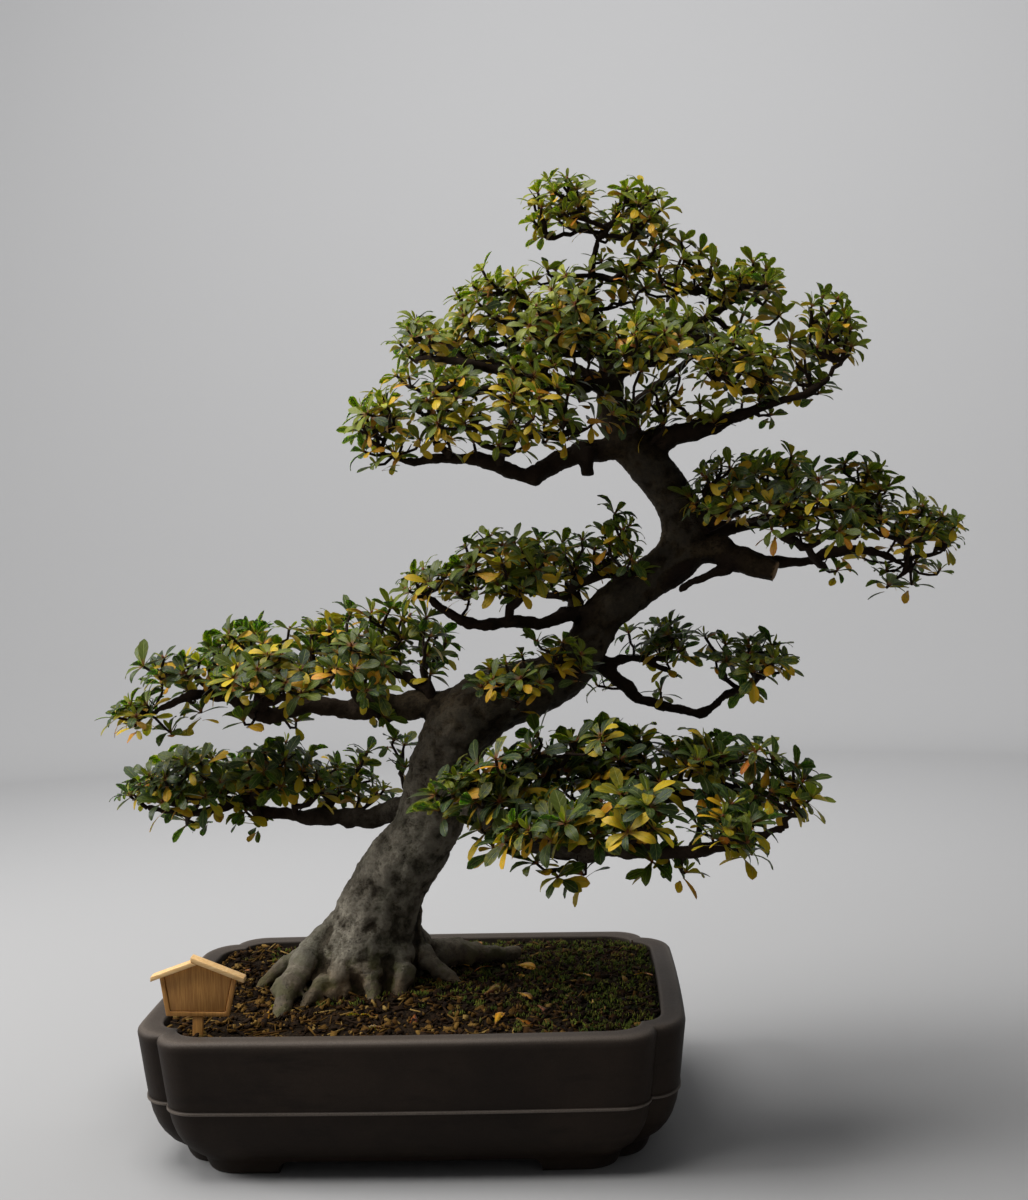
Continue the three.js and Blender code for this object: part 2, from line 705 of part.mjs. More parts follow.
/** All leafy sprays as solids by name, each fused in one body and cut clear of the tree. */
function makeSprays(clearance) {
  const random = makeRandom(SEED);
  const placed = [];
  const place = (name, solid) => placed.push({ name, solid, box: solid.boundingBox() });
  const plans = Object.entries(PADS).flatMap(([pad, { limbs, sprays }]) =>
    sprays.map(([x, y, z, across, deep, whorls], i) => {
      const middle = new THREE.Vector3(x, y, z);
      const fork = new THREE.Vector3(x, y, z - FORK_DROP);
      return { name: "spray_" + pad + "_" + (i + 1), limbs, middle, fork, across, deep, whorls };
    }),
  );
  for (const plan of plans) {
    Object.assign(plan, findStem(plan.name, plan.fork, plan.limbs, placed));
    place(plan.name, plan.solid);
  }
  for (const plan of plans) {
    const start = random() * Math.PI;
    for (let i = 0; i < plan.whorls; i++) {
      const angle = start + (i / plan.whorls) * 2 * Math.PI;
      const offset = new THREE.Vector3(Math.cos(angle) * plan.across, Math.sin(angle) * plan.deep, 0);
      const axis = offset.clone().multiplyScalar(WHORL_LEAN).add(new THREE.Vector3(0, 0, 1)).normalize();
      const hub = plan.middle.clone().add(offset);
      hub.z += HUB_SCATTER * (random() - 0.5);
      const leaves = WHORL_LEAVES[i % WHORL_LEAVES.length];
      // The first whorl ends the stem itself, and the others branch from its fork.
      const path = i === 0 ? plan.path : [{ place: plan.fork, radius: TWIG_RADIUS }];
      const whorl = placeWhorl(plan.name, path, hub, axis, leaves, placed, random);
      if (whorl) {
        place(plan.name, whorl);
        plan.solid = i === 0 ? whorl : plan.solid.add(whorl);
      }
    }
  }
  return plans.map(({ name, solid }) => [name, largestBody(solid.subtract(clearance))]);
}

/** A flat piece of wood: an outline in the board's own plane, with its thickness centred on it. */
function woodPiece(points, thickness) {
  const shape = new THREE.Shape(points.map(([x, z]) => new THREE.Vector2(x, z)));
  const geometry = new THREE.ExtrudeGeometry(shape, { depth: thickness, bevelEnabled: false });
  geometry.translate(0, 0, -thickness / 2);
  geometry.rotateX(Math.PI / 2);
  return geometry;
}

/** The pieces of the name plate by name, as solids in their place in the pot. */
function makePlate() {
  const foot = PLATE.footWidth / 2;
  const eave = PLATE.eaveWidth / 2;
  const ridge = PLATE.eaveHeight + PLATE.gableRise;
  const slope = PLATE.gableRise / eave;
  const strip = PLATE.stripWidth;
  const flare = (eave - foot) / PLATE.eaveHeight;
  const footInner = foot - strip + flare * strip;
  // Where the board's sides meet the underside of the roof.
  const topInner = (foot - strip + flare * ridge) / (1 + flare * slope);
  const topLevel = ridge - slope * topInner;
  const board = woodPiece(
    [
      [-footInner + GAP, strip + GAP],
      [footInner - GAP, strip + GAP],
      [topInner - GAP, topLevel - GAP],
      [0, ridge - GAP],
      [-topInner + GAP, topLevel - GAP],
    ],
    PLATE.thickness,
  );
  const surround = woodPiece(
    [
      [-foot, 0],
      [foot, 0],
      [eave, PLATE.eaveHeight - GAP],
      [topInner, topLevel - GAP],
      [footInner, strip],
      [-footInner, strip],
      [-topInner, topLevel - GAP],
      [-eave, PLATE.eaveHeight - GAP],
    ],
    PLATE.stripThickness,
  );
  const pitch = Math.atan(slope);
  const reach = PLATE.roofLength * Math.cos(pitch);
  const eaveLevel = ridge - reach * slope;
  const rise = PLATE.roofThickness / Math.cos(pitch);
  // The right roof board laps over the ridge, and the left one ends under it.
  const lap = rise / (2 * slope) + GAP;
  const roofLeft = woodPiece(
    [
      [-reach, eaveLevel],
      [-GAP, ridge - GAP * slope],
      [-lap, ridge + rise - lap * slope],
      [-reach, eaveLevel + rise],
    ],
    PLATE.roofDepth,
  );
  const roofRight = woodPiece(
    [
      [-lap, ridge + lap * slope],
      [reach, eaveLevel],
      [reach, eaveLevel + rise],
      [-lap, ridge + lap * slope + rise],
    ],
    PLATE.roofDepth,
  );
  const stake = woodPiece(
    [
      [-PLATE.stakeWidth / 2, PLATE.stakeBottom - PLATE.boardLevel],
      [PLATE.stakeWidth / 2, PLATE.stakeBottom - PLATE.boardLevel],
      [PLATE.stakeWidth / 2, -GAP],
      [-PLATE.stakeWidth / 2, -GAP],
    ],
    PLATE.stakeThickness,
  );
  const pieces = {
    plate_board: board,
    plate_surround: surround,
    plate_roof_left: roofLeft,
    plate_roof_right: roofRight,
    plate_stake: stake,
  };
  const turned = new THREE.Matrix4()
    .makeTranslation(PLATE.place[0], PLATE.place[1], PLATE.boardLevel)
    .multiply(new THREE.Matrix4().makeRotationZ(PLATE.turn))
    .multiply(new THREE.Matrix4().makeRotationY(PLATE.lean));
  return Object.fromEntries(
    Object.entries(pieces).map(([name, geometry]) => [name, solidOf(geometry.applyMatrix4(turned))]),
  );
}

/** The stake grown by the clearance, for the slot that it stands in. */
function stakeSlot() {
  const width = PLATE.stakeWidth + 2 * GAP;
  const height = PLATE.boardLevel - PLATE.stakeBottom + GAP;
  const slot = new THREE.BoxGeometry(width, PLATE.stakeThickness + 2 * GAP, height);
  slot.translate(0, 0, -height / 2);
  slot.rotateY(PLATE.lean);
  slot.rotateZ(PLATE.turn);
  slot.translate(PLATE.place[0], PLATE.place[1], PLATE.boardLevel);
  return solidOf(slot);
}

const bonsai = new THREE.Group();
const tree = makeTree(0);
const treeClearance = makeTree(GAP);
bonsai.add(meshOf("pot", makePot(), MATERIALS.stoneware));
bonsai.add(meshOf("screen_left", makeScreen(-DRAIN_SPACING / 2), MATERIALS.screen));
bonsai.add(meshOf("screen_right", makeScreen(DRAIN_SPACING / 2), MATERIALS.screen));
bonsai.add(meshOf("soil", makeSoil(treeClearance, stakeSlot()), MATERIALS.soil));
bonsai.add(meshOf("trunk", largestBody(tree), MATERIALS.bark));
for (const [name, solid] of makeSprays(treeClearance)) {
  bonsai.add(meshOf(name, solid, MATERIALS.foliage));
}
for (const [name, solid] of Object.entries(makePlate())) {
  bonsai.add(meshOf(name, solid, MATERIALS.plate_wood));
}

// The part's own frame starts under the middle of the whole object's box.
const bounds = new THREE.Box3().setFromObject(bonsai);
const middle = bounds.getCenter(new THREE.Vector3());
bonsai.position.set(-middle.x, -middle.y, -bounds.min.z);

export default bonsai;
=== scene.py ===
"""A kaho satsuki azalea bonsai in its rectangular pot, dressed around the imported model.

Sizes are millimetres in the classes below and metres in Blender. The tree's numbers count from a
point a little in front of the pot's middle, at the level of its feet, with +X to the right, +Y away
from the viewer and +Z up.
"""

from __future__ import annotations

import json
import logging
import math
import random
from collections.abc import Iterable, Iterator, Sequence
from contextlib import contextmanager
from dataclasses import dataclass, field
from enum import Enum

import bmesh
import bpy
import numpy as np
from bpy.types import Material, Mesh, Object
from mathutils import Matrix, Vector
from mathutils.kdtree import KDTree

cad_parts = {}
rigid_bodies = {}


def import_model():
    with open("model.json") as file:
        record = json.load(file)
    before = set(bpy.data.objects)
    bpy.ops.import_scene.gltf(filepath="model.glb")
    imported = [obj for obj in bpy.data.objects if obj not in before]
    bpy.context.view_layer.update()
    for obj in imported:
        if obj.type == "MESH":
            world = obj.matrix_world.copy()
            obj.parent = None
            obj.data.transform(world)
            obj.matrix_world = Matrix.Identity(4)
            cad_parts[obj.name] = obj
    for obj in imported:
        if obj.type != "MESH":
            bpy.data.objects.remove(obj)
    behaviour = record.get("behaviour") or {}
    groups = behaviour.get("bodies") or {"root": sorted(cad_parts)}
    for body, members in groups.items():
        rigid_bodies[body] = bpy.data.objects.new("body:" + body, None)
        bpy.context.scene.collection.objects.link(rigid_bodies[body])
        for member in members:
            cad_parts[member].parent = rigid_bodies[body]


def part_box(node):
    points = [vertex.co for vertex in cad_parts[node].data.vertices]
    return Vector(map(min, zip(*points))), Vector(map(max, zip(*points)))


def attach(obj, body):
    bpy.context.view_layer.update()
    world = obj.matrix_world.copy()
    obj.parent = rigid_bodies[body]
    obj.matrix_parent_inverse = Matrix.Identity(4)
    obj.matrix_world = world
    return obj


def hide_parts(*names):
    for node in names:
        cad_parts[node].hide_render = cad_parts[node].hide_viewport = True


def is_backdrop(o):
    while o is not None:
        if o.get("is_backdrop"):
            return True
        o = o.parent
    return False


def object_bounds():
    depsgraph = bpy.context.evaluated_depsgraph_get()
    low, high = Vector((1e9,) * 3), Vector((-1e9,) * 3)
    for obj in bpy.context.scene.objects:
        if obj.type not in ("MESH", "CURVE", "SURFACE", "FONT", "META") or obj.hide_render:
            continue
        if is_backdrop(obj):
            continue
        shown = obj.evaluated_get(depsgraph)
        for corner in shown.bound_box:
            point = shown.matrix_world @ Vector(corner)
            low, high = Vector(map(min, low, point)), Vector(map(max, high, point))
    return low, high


LOG = logging.getLogger("bonsai")
MM = 0.001
WELD = 1e-6
SOIL_SEED = 11
FIRST_PAD_SEED = 100

Row = tuple[float, float, float, float]
Pixel = tuple[float, float]
Span = tuple[float, float]
Triple = tuple[float, float, float]
Colour = Triple
Stop = tuple[float, Colour]
Knot = tuple[Vector, float]

WHITE: Colour = (1.0, 1.0, 1.0)


class Slot(Enum):
    """The record's material slots that match the new pieces' finishes."""

    STONEWARE = "stoneware"
    SOIL = "soil"
    BARK = "bark"
    FOLIAGE = "foliage"
    PLATE_WOOD = "plate_wood"


# Shader expressions


class Value:
    """A shader socket that adds Math nodes when it is used in an expression."""

    def __init__(self, graph: Graph, socket: bpy.types.NodeSocket) -> None:
        """Wraps an output socket of a graph."""
        self.graph = graph
        self.socket = socket

    def _math(self, operation: str, *others: Value | float) -> Value:
        """Adds a Math node on this value and others, and returns its result."""
        return self.graph.node("ShaderNodeMath", {"operation": operation}, [self, *others])

    def __add__(self, other: Value | float) -> Value:
        """This value plus another."""
        return self._math("ADD", other)

    def __mul__(self, other: Value | float) -> Value:
        """This value times another."""
        return self._math("MULTIPLY", other)

    def __sub__(self, other: Value | float) -> Value:
        """This value less another."""
        return self._math("SUBTRACT", other)

    def __rsub__(self, other: float) -> Value:
        """A number less this value."""
        return self.graph.node("ShaderNodeMath", {"operation": "SUBTRACT"}, [other, self])

    def distance_from(self, middle: float) -> Value:
        """How far this value is from a number."""
        return (self - middle)._math("ABSOLUTE")

    def wave(self) -> Value:
        """The sine of this value."""
        return self._math("SINE")

    def fraction(self) -> Value:
        """What is left of this value over its whole number."""
        return self._math("FRACT")

    def step(self, low: float, high: float) -> Value:
        """A smooth step from 0 at low to 1 at high."""
        settings = {"interpolation_type": "SMOOTHSTEP"}
        return self.graph.node("ShaderNodeMapRange", settings, [self, low, high, 0.0, 1.0])


class Graph:
    """The node tree of one finish, built by expressions."""

    def __init__(self, name: str) -> None:
        """Starts a material of a name with a Principled surface."""
        self.material = bpy.data.materials.new(name)
        self.material.use_nodes = True
        self.tree = self.material.node_tree
        self.tree.nodes.clear()
        self.surface = self.tree.nodes.new("ShaderNodeBsdfPrincipled")
        output = self.tree.nodes.new("ShaderNodeOutputMaterial")
        self.tree.links.new(self.surface.outputs["BSDF"], output.inputs["Surface"])

    def feed(self, socket: bpy.types.NodeSocket, value: object) -> None:
        """Links a value to a socket, or sets a number or colour on it."""
        if isinstance(value, Value):
            self.tree.links.new(value.socket, socket)
        elif isinstance(value, (tuple, list)) and socket.type == "RGBA" and len(value) == 3:
            socket.default_value = (*value, 1.0)
        else:
            socket.default_value = value

    def node(
        self,
        kind: str,
        settings: dict[str, object] | None = None,
        inputs: dict[str | int, object] | list[object] | None = None,
        output: str | int = 0,
    ) -> Value:
        """Adds a node.

        Args:
            kind: The node's type.
            settings: Its properties, set first. A ramp's stops are under the name stops.
            inputs: The values or links of its sockets, by name or place, or as a list.
            output: The output's name or place.

        Returns:
            The output as a value.
        """
        made = self.tree.nodes.new(kind)
        for name, setting in (settings or {}).items():
            if name == "stops":
                self._set_stops(made.color_ramp, setting)
            else:
                setattr(made, name, setting)
        pairs = enumerate(inputs) if isinstance(inputs, list) else (inputs or {}).items()
        for place, value in pairs:
            self.feed(made.inputs[place], value)
        return Value(self, made.outputs[output])

    @staticmethod
    def _set_stops(ramp: bpy.types.ColorRamp, stops: Sequence[Stop]) -> None:
        """Sets a ramp's stops, each a place and a colour."""
        while len(ramp.elements) < len(stops):
            ramp.elements.new(0.5)
        for element, (place, colour) in zip(ramp.elements, stops):
            element.position = place
            element.color = (*colour, 1.0)

    def ramp(self, value: Value, *stops: Stop) -> Value:
        """The colour of a ramp at a value."""
        return self.node("ShaderNodeValToRGB", {"stops": stops}, [value])

    def mix(self, share: Value | float, first: object, second: object, blend: str = "MIX") -> Value:
        """A colour between two, by a share."""
        settings = {"data_type": "RGBA", "blend_type": blend}
        inputs = {0: share, 6: first, 7: second}
        return self.node("ShaderNodeMix", settings, inputs, 2)

    def tint(self, share: Value | float, first: object, second: object) -> Value:
        """The first colour multiplied by the second, by a share."""
        return self.mix(share, first, second, "MULTIPLY")

    def shade(self, share: float, colour: object, value: Value, levels: Span, dark: Colour) -> Value:
        """A colour made dark by a share where a value is under the first level, up to the second."""
        return self.tint(share, colour, self.ramp(value, (levels[0], dark), (levels[1], WHITE)))

    def place(self, stretch: Triple = (1.0, 1.0, 1.0)) -> Value:
        """Object coordinates, stretched along the axes."""
        point = self.node("ShaderNodeTexCoord", output="Object")
        if stretch == (1.0, 1.0, 1.0):
            return point
        return self.node("ShaderNodeMapping", {}, {"Vector": point, "Scale": stretch})

    def noise(self, place: Value, scale: float, detail: float = 4.0, rough: float = 0.55) -> Value:
        """Soft noise from 0 to 1, with its number of lumps to a metre."""
        inputs = {"Vector": place, "Scale": scale, "Detail": detail, "Roughness": rough}
        return self.node("ShaderNodeTexNoise", {}, inputs, "Fac")

    def cells(self, place: Value, scale: float) -> Value:
        """The distance from the middle of the nearest of many cells."""
        return self.node("ShaderNodeTexVoronoi", {}, {"Vector": place, "Scale": scale}, "Distance")

    def attribute(self, name: str) -> Value:
        """A number kept on the mesh."""
        return self.node("ShaderNodeAttribute", {"attribute_name": name}, output="Fac")

    def split(self, vector: Value, axis: str) -> Value:
        """One of a vector's X, Y and Z."""
        return self.node("ShaderNodeSeparateXYZ", {}, [vector], axis)

    def bump(self, height: Value, depth: float, strength: float = 1.0) -> None:
        """Raises the surface by a height, whose full range is depth in metres."""
        inputs = {"Height": height, "Distance": depth, "Strength": strength}
        self.feed(self.surface.inputs["Normal"], self.node("ShaderNodeBump", {}, inputs, "Normal"))

    def finish(self, **sockets: object) -> Material:
        """Sets the surface's sockets, named with underscores for spaces, and returns the material."""
        for name, value in sockets.items():
            self.feed(self.surface.inputs[name.replace("_", " ").title().replace("Ior", "IOR")], value)
        return self.material


# Finishes


@dataclass(frozen=True)
class BarkPattern:
    """The values over the wood that the bark's colours are worked out from."""

    place: Value
    height: Value
    girth: Value
    broad: Value
    patch: Value
    fine: Value

    @classmethod
    def on(cls, g: Graph) -> BarkPattern:
        """Adds them to a finish's nodes."""
        place = g.place()
        return cls(
            place=place,
            height=g.split(place, "Z"),
            girth=g.attribute("girth"),
            broad=g.noise(place, 24.0, 5.0, 0.6),
            patch=g.noise(place, 75.0, 5.0, 0.65),
            fine=g.noise(place, 260.0, 6.0, 0.75),
        )


@dataclass(frozen=True)
class Bark:
    """Smooth bark: pale grey at the foot of the trunk, browner above, and dark on limbs and twigs."""

    grey: Colour = (0.192, 0.170, 0.130)
    pale: Colour = (0.410, 0.375, 0.300)
    green: Colour = (0.140, 0.146, 0.104)
    brown: Colour = (0.031, 0.021, 0.0112)
    tan: Colour = (0.084, 0.059, 0.031)
    limb: Colour = (0.026, 0.018, 0.012)
    pit: Colour = (0.013, 0.009, 0.007)
    twig: Colour = (0.021, 0.011, 0.007)
    moss: Colour = (0.062, 0.066, 0.012)
    stain: Colour = (0.075, 0.052, 0.030)
    sawn: Colour = (0.22, 0.135, 0.065)
    patch_shade: Colour = (0.34, 0.32, 0.30)
    fine_shade: Colour = (0.36, 0.34, 0.32)
    # Painted shade on the side away from the lamps.
    painted_shade_tint: Colour = (0.36, 0.31, 0.25)
    stain_tint: Colour = (0.80, 0.62, 0.44)
    # Painted shade in the hollows of the bark.
    painted_hollow_shade: Colour = (0.20, 0.17, 0.14)
    foot_level: float = 0.17
    brown_level: float = 0.42
    stain_level: float = 0.126
    stain_edge: float = 0.040
    moss_level: float = 0.142
    moss_edge: float = 0.035

    def make(self) -> Material:
        """Builds the material."""
        g = Graph("bark")
        over = BarkPattern.on(g)
        above = over.height.step(self.foot_level, self.brown_level)
        marks = self._marks(g, over, above)
        colour = self._trunk(g, over, above)
        colour = g.mix(marks, colour, self.pit)
        colour = g.mix(g.noise(over.place, 1100.0, 2.0).step(0.60, 0.72) * 0.5, colour, self.pit)
        limb = g.mix(over.patch, self.twig, self.limb)
        colour = g.mix(over.girth.step(0.22, 0.62), limb, colour)
        colour = self._weathered_and_painted_light(g, over, above, colour)
        colour = g.mix(g.attribute("sawn"), colour, self.sawn)
        g.bump(over.patch * 0.8 + over.fine * 0.7 - marks * 0.6, 0.0032, 1.0)
        return g.finish(base_color=colour, roughness=over.fine * 0.2 + 0.70, specular_ior_level=0.1)

    def _trunk(self, g: Graph, over: BarkPattern, above: Value) -> Value:
        """The trunk's clouded colour, from its grey foot to the browner bark above."""
        foot = g.mix(over.broad.step(0.36, 0.66), self.grey, self.pale)
        foot = g.mix(g.noise(over.place, 15.0, 4.0).step(0.46, 0.62) * 0.5, foot, self.green)
        trunk = g.mix(over.broad.step(0.38, 0.68), self.brown, self.tan)
        colour = g.mix(above, foot, trunk)
        colour = g.shade(0.9 - above * 0.45, colour, over.patch, (0.36, 0.56), self.patch_shade)
        return g.shade(0.85, colour, over.fine, (0.40, 0.56), self.fine_shade)

    @staticmethod
    def _marks(g: Graph, over: BarkPattern, above: Value) -> Value:
        """Short dark ticks and larger scars, which lie in patches and fade higher up."""
        ticks = 1 - g.cells(g.place((1.0, 1.0, 2.6)), 200.0).step(0.10, 0.30)
        ticks = ticks * g.noise(over.place, 34.0, 3.0).step(0.46, 0.58)
        scars = 1 - g.cells(g.place((1.0, 1.0, 1.7)), 66.0).step(0.08, 0.24)
        scars = scars * g.noise(over.place, 21.0, 3.0).step(0.50, 0.60) * over.patch.step(0.40, 0.55)
        return ticks * 0.6 + scars * (0.30 - above * 0.18)

    def _weathered_and_painted_light(self, g: Graph, over: BarkPattern, above: Value, colour: Value) -> Value:
        """The bark's colour with soil stains, moss, painted shade away from the lamps and in hollows, and
        painted highlights on ridges.
        """
        # Painted shade: darker where the bark faces away from the lamps.
        damp = g.attribute("damp") * over.broad.step(0.30, 0.55)
        colour = g.tint(damp * 0.85, colour, self.painted_shade_tint)
        low = 1 - over.height.step(self.stain_level, self.stain_level + self.stain_edge)
        colour = g.tint(low * over.broad.step(0.34, 0.56), colour, self.stain_tint)
        colour = g.mix(low * over.fine.step(0.42, 0.54) * 0.6, colour, self.stain)
        mossy = g.noise(over.place, 70.0, 4.0).step(0.50, 0.60)
        mossy = mossy * (1 - over.height.step(self.moss_level, self.moss_level + self.moss_edge))
        colour = g.mix(mossy * 0.55, colour, self.moss)
        # Painted shade darkens the hollows.
        hollow = g.attribute("hollow")
        colour = g.tint(hollow.step(0.50, 0.85) * 0.85, colour, self.painted_hollow_shade)
        # A painted highlight lightens the ridges.
        ridge_highlight = (1 - hollow).step(0.55, 0.95) * over.girth.step(0.5, 0.8)
        ridge_highlight = ridge_highlight * (1 - low * 0.7) * (1 - above * 0.75)
        return g.mix(ridge_highlight * 0.3, colour, self.pale)


@dataclass(frozen=True)
class LeafSkin:
    """Leathery leaves from bright young green through deep green to gold, orange and dead brown."""

    base_brown: Colour = (0.17, 0.055, 0.014)
    vein: Colour = (0.34, 0.38, 0.10)
    ages: tuple[Stop, ...] = (
        (0.00, (0.300, 0.305, 0.014)),
        (0.14, (0.170, 0.190, 0.010)),
        (0.30, (0.072, 0.094, 0.007)),
        (0.44, (0.025, 0.041, 0.007)),
        (0.55, (0.013, 0.028, 0.011)),
        (0.61, (0.170, 0.160, 0.010)),
        (0.69, (0.430, 0.310, 0.010)),
        (0.80, (0.540, 0.290, 0.008)),
        (0.88, (0.440, 0.130, 0.010)),
        (0.94, (0.180, 0.048, 0.014)),
        (1.00, (0.070, 0.028, 0.014)),
    )

    def make(self) -> Material:
        """Builds the material. A leaf's place along the ages is the number tone on its points."""
        g = Graph("leaf_skin")
        tone = g.attribute("tone")
        across = g.node("ShaderNodeTexCoord", output="UV")
        along = g.split(across, "Y")
        side = (g.split(across, "X") * 2).fraction().distance_from(0.5) * 2
        mottle = g.noise(g.place(), 260.0, 3.0)
        age = tone + (mottle - 0.5) * 0.12 + (along - 0.5) * 0.03 + side * side * 0.025
        colour = g.ramp(age, *self.ages)
        ribs = (side * 7.0 - along * 34.0).wave().step(0.72, 1.0)
        midrib = 1 - side.step(0.02, 0.12)
        living = 1 - tone.step(0.9, 0.93)
        colour = g.mix(midrib * living * 0.30, colour, self.vein)
        colour = g.mix(ribs * living * 0.08, colour, self.vein)
        colour = g.mix((1 - along.step(0.05, 0.30)) * 0.85, colour, self.base_brown)
        g.bump(mottle * 0.3 - ribs * 0.35 - midrib, 0.0005, 0.6)
        return g.finish(
            base_color=colour,
            roughness=mottle * 0.2 + 0.36,
            subsurface_weight=0.15,
            subsurface_radius=(0.6, 1.0, 0.15),
            subsurface_scale=0.0025,
            specular_ior_level=0.24,
        )


@dataclass(frozen=True)
class Stoneware:
    """Unglazed dark brown stoneware, a little paler where hands and water have worn it, which on the band
    and the rim's top is also a painted highlight.
    """

    clay: Colour = (0.0155, 0.0102, 0.0070)
    pale: Colour = (0.027, 0.0182, 0.0127)
    dark: Colour = (0.010, 0.0065, 0.0045)
    # The colour of wear, also a painted highlight on the band and the rim.
    lime_and_highlight: Colour = (0.170, 0.143, 0.122)
    grain_shade: Colour = (0.6, 0.58, 0.56)

    def make(self) -> Material:
        """Builds the material."""
        g = Graph("stoneware")
        place = g.place()
        cloud = g.noise(place, 8.0, 6.0, 0.6)
        grain = g.noise(place, 900.0, 3.0, 0.6)
        smear = g.noise(g.place((1.0, 1.0, 5.0)), 14.0, 6.0, 0.65)
        colour = g.mix(cloud.step(0.38, 0.68), self.clay, self.pale)
        colour = g.mix(smear.step(0.50, 0.72) * 0.6, colour, self.dark)
        # Paler where worn, partly a painted highlight along the band and the rim's top.
        worn = g.attribute("worn")
        colour = g.mix(worn * (grain * 0.5 + smear * 0.4 + 0.2), colour, self.lime_and_highlight)
        colour = g.shade(0.45, colour, grain, (0.3, 0.7), self.grain_shade)
        g.bump(grain * 0.6 + g.noise(place, 160.0, 4.0) * 0.8, 0.0005, 0.55)
        return g.finish(base_color=colour, roughness=cloud * 0.2 + 0.5, specular_ior_level=0.14)


@dataclass(frozen=True)
class Ground:
    """Dark granular soil under its litter, with a green film where it stays damp."""

    dark: Colour = (0.008, 0.005, 0.003)
    brown: Colour = (0.030, 0.017, 0.007)
    moss: Colour = (0.020, 0.028, 0.005)

    def make(self) -> Material:
        """Builds the material."""
        g = Graph("ground")
        place = g.place()
        crumb = g.cells(place, 330.0)
        rough = g.noise(place, 420.0, 4.0, 0.6)
        colour = g.mix(rough.step(0.35, 0.72), self.dark, self.brown)
        damp = (g.split(place, "X") + g.split(place, "Y") * 0.9).step(-0.10, 0.04)
        film = g.noise(place, 48.0, 4.0).step(0.42, 0.58)
        colour = g.mix(damp * film * 0.8, colour, self.moss)
        g.bump(crumb + rough * 0.5, 0.002, 1.0)
        return g.finish(base_color=colour, roughness=0.95, specular_ior_level=0.1)


@dataclass(frozen=True)
class Litter:
    """Bark bits, straw, grit and moss, coloured by each bit's own tone."""

    grain_shade: Colour = (0.45, 0.42, 0.4)
    tones: tuple[Stop, ...] = (
        (0.00, (0.011, 0.006, 0.003)),
        (0.20, (0.024, 0.012, 0.005)),
        (0.36, (0.065, 0.029, 0.006)),
        (0.48, (0.165, 0.090, 0.018)),
        (0.60, (0.370, 0.245, 0.075)),
        (0.66, (0.130, 0.112, 0.026)),
        (0.78, (0.080, 0.098, 0.015)),
        (0.90, (0.040, 0.068, 0.010)),
        (1.00, (0.170, 0.200, 0.026)),
    )

    def make(self) -> Material:
        """Builds the material."""
        g = Graph("litter")
        grain = g.noise(g.place(), 700.0, 3.0, 0.6)
        colour = g.ramp(g.attribute("tone"), *self.tones)
        colour = g.shade(0.7, colour, grain, (0.3, 0.65), self.grain_shade)
        g.bump(grain, 0.0006, 0.8)
        return g.finish(base_color=colour, roughness=grain * 0.2 + 0.76, specular_ior_level=0.1)


@dataclass(frozen=True)
class PlateWood:
    """Planed honey-coloured softwood with fine straight grain."""

    honey: Colour = (0.35, 0.150, 0.027)
    pale: Colour = (0.50, 0.245, 0.055)
    line: Colour = (0.25, 0.095, 0.018)

    def make(self, name: str, stretch: Triple) -> Material:
        """Builds the material.

        Args:
            name: The material's name.
            stretch: How the grain is stretched along X, Y and Z, small where it runs.

        Returns:
            The material.
        """
        g = Graph(name)
        place = g.place(stretch)
        grain = g.noise(place, 900.0, 4.0, 0.6)
        rings = (g.noise(place, 60.0, 2.0) * 30.0).wave()
        colour = g.mix(grain.step(0.34, 0.66), self.honey, self.pale)
        colour = g.mix(rings.step(0.1, 1.0) * 0.22, colour, self.line)
        g.bump(grain * 0.6 + rings * 0.2, 0.0002, 0.6)
        return g.finish(base_color=colour, roughness=grain * 0.2 + 0.5)


@dataclass(frozen=True)
class MeshPlastic:
    """Black moulded plastic of the drain screens."""

    dark: Colour = (0.012, 0.012, 0.013)
    worn: Colour = (0.026, 0.025, 0.024)

    def make(self) -> Material:
        """Builds the material."""
        g = Graph("mesh_plastic")
        grain = g.noise(g.place(), 600.0, 3.0)
        g.bump(grain, 0.0002, 0.5)
        return g.finish(base_color=g.mix(grain, self.dark, self.worn), roughness=grain * 0.2 + 0.45)


@dataclass(frozen=True)
class PaleStage:
    """The plain pale floor and backdrop."""

    pale: Colour = (0.32, 0.32, 0.325)

    def make(self) -> Material:
        """Builds the material."""
        return Graph("pale_stage").finish(base_color=self.pale, roughness=0.9)


# Modelling helpers


def deselect_all() -> None:
    """Deselects every object."""
    for other in bpy.context.view_layer.objects:
        other.select_set(False)


def activate(obj: Object) -> None:
    """Makes an object the only selected one, and active."""
    deselect_all()
    obj.select_set(True)
    bpy.context.view_layer.objects.active = obj


def link(obj: Object) -> None:
    """Adds an object to the scene."""
    bpy.context.scene.collection.objects.link(obj)


def remove(obj: Object) -> None:
    """Removes an object with its mesh."""
    mesh = obj.data
    bpy.data.objects.remove(obj)
    bpy.data.meshes.remove(mesh)


@contextmanager
def editing(obj: Object, kind: str = "VERT", select: str = "SELECT") -> Iterator[None]:
    """Opens an object in edit mode, and closes it again.

    Args:
        obj: The object.
        kind: What is selected in it: VERT, EDGE or FACE.
        select: SELECT for all of it, or DESELECT for none.

    Yields:
        Nothing, once the object is open.
    """
    activate(obj)
    bpy.ops.object.mode_set(mode="EDIT")
    bpy.ops.mesh.select_mode(type=kind)
    bpy.ops.mesh.select_all(action=select)
    yield
    bpy.ops.object.mode_set(mode="OBJECT")


def fix_transform(obj: Object) -> None:
    """Puts an object's place, turn and scale into its mesh."""
    activate(obj)
    bpy.ops.object.transform_apply(location=True, rotation=True, scale=True)


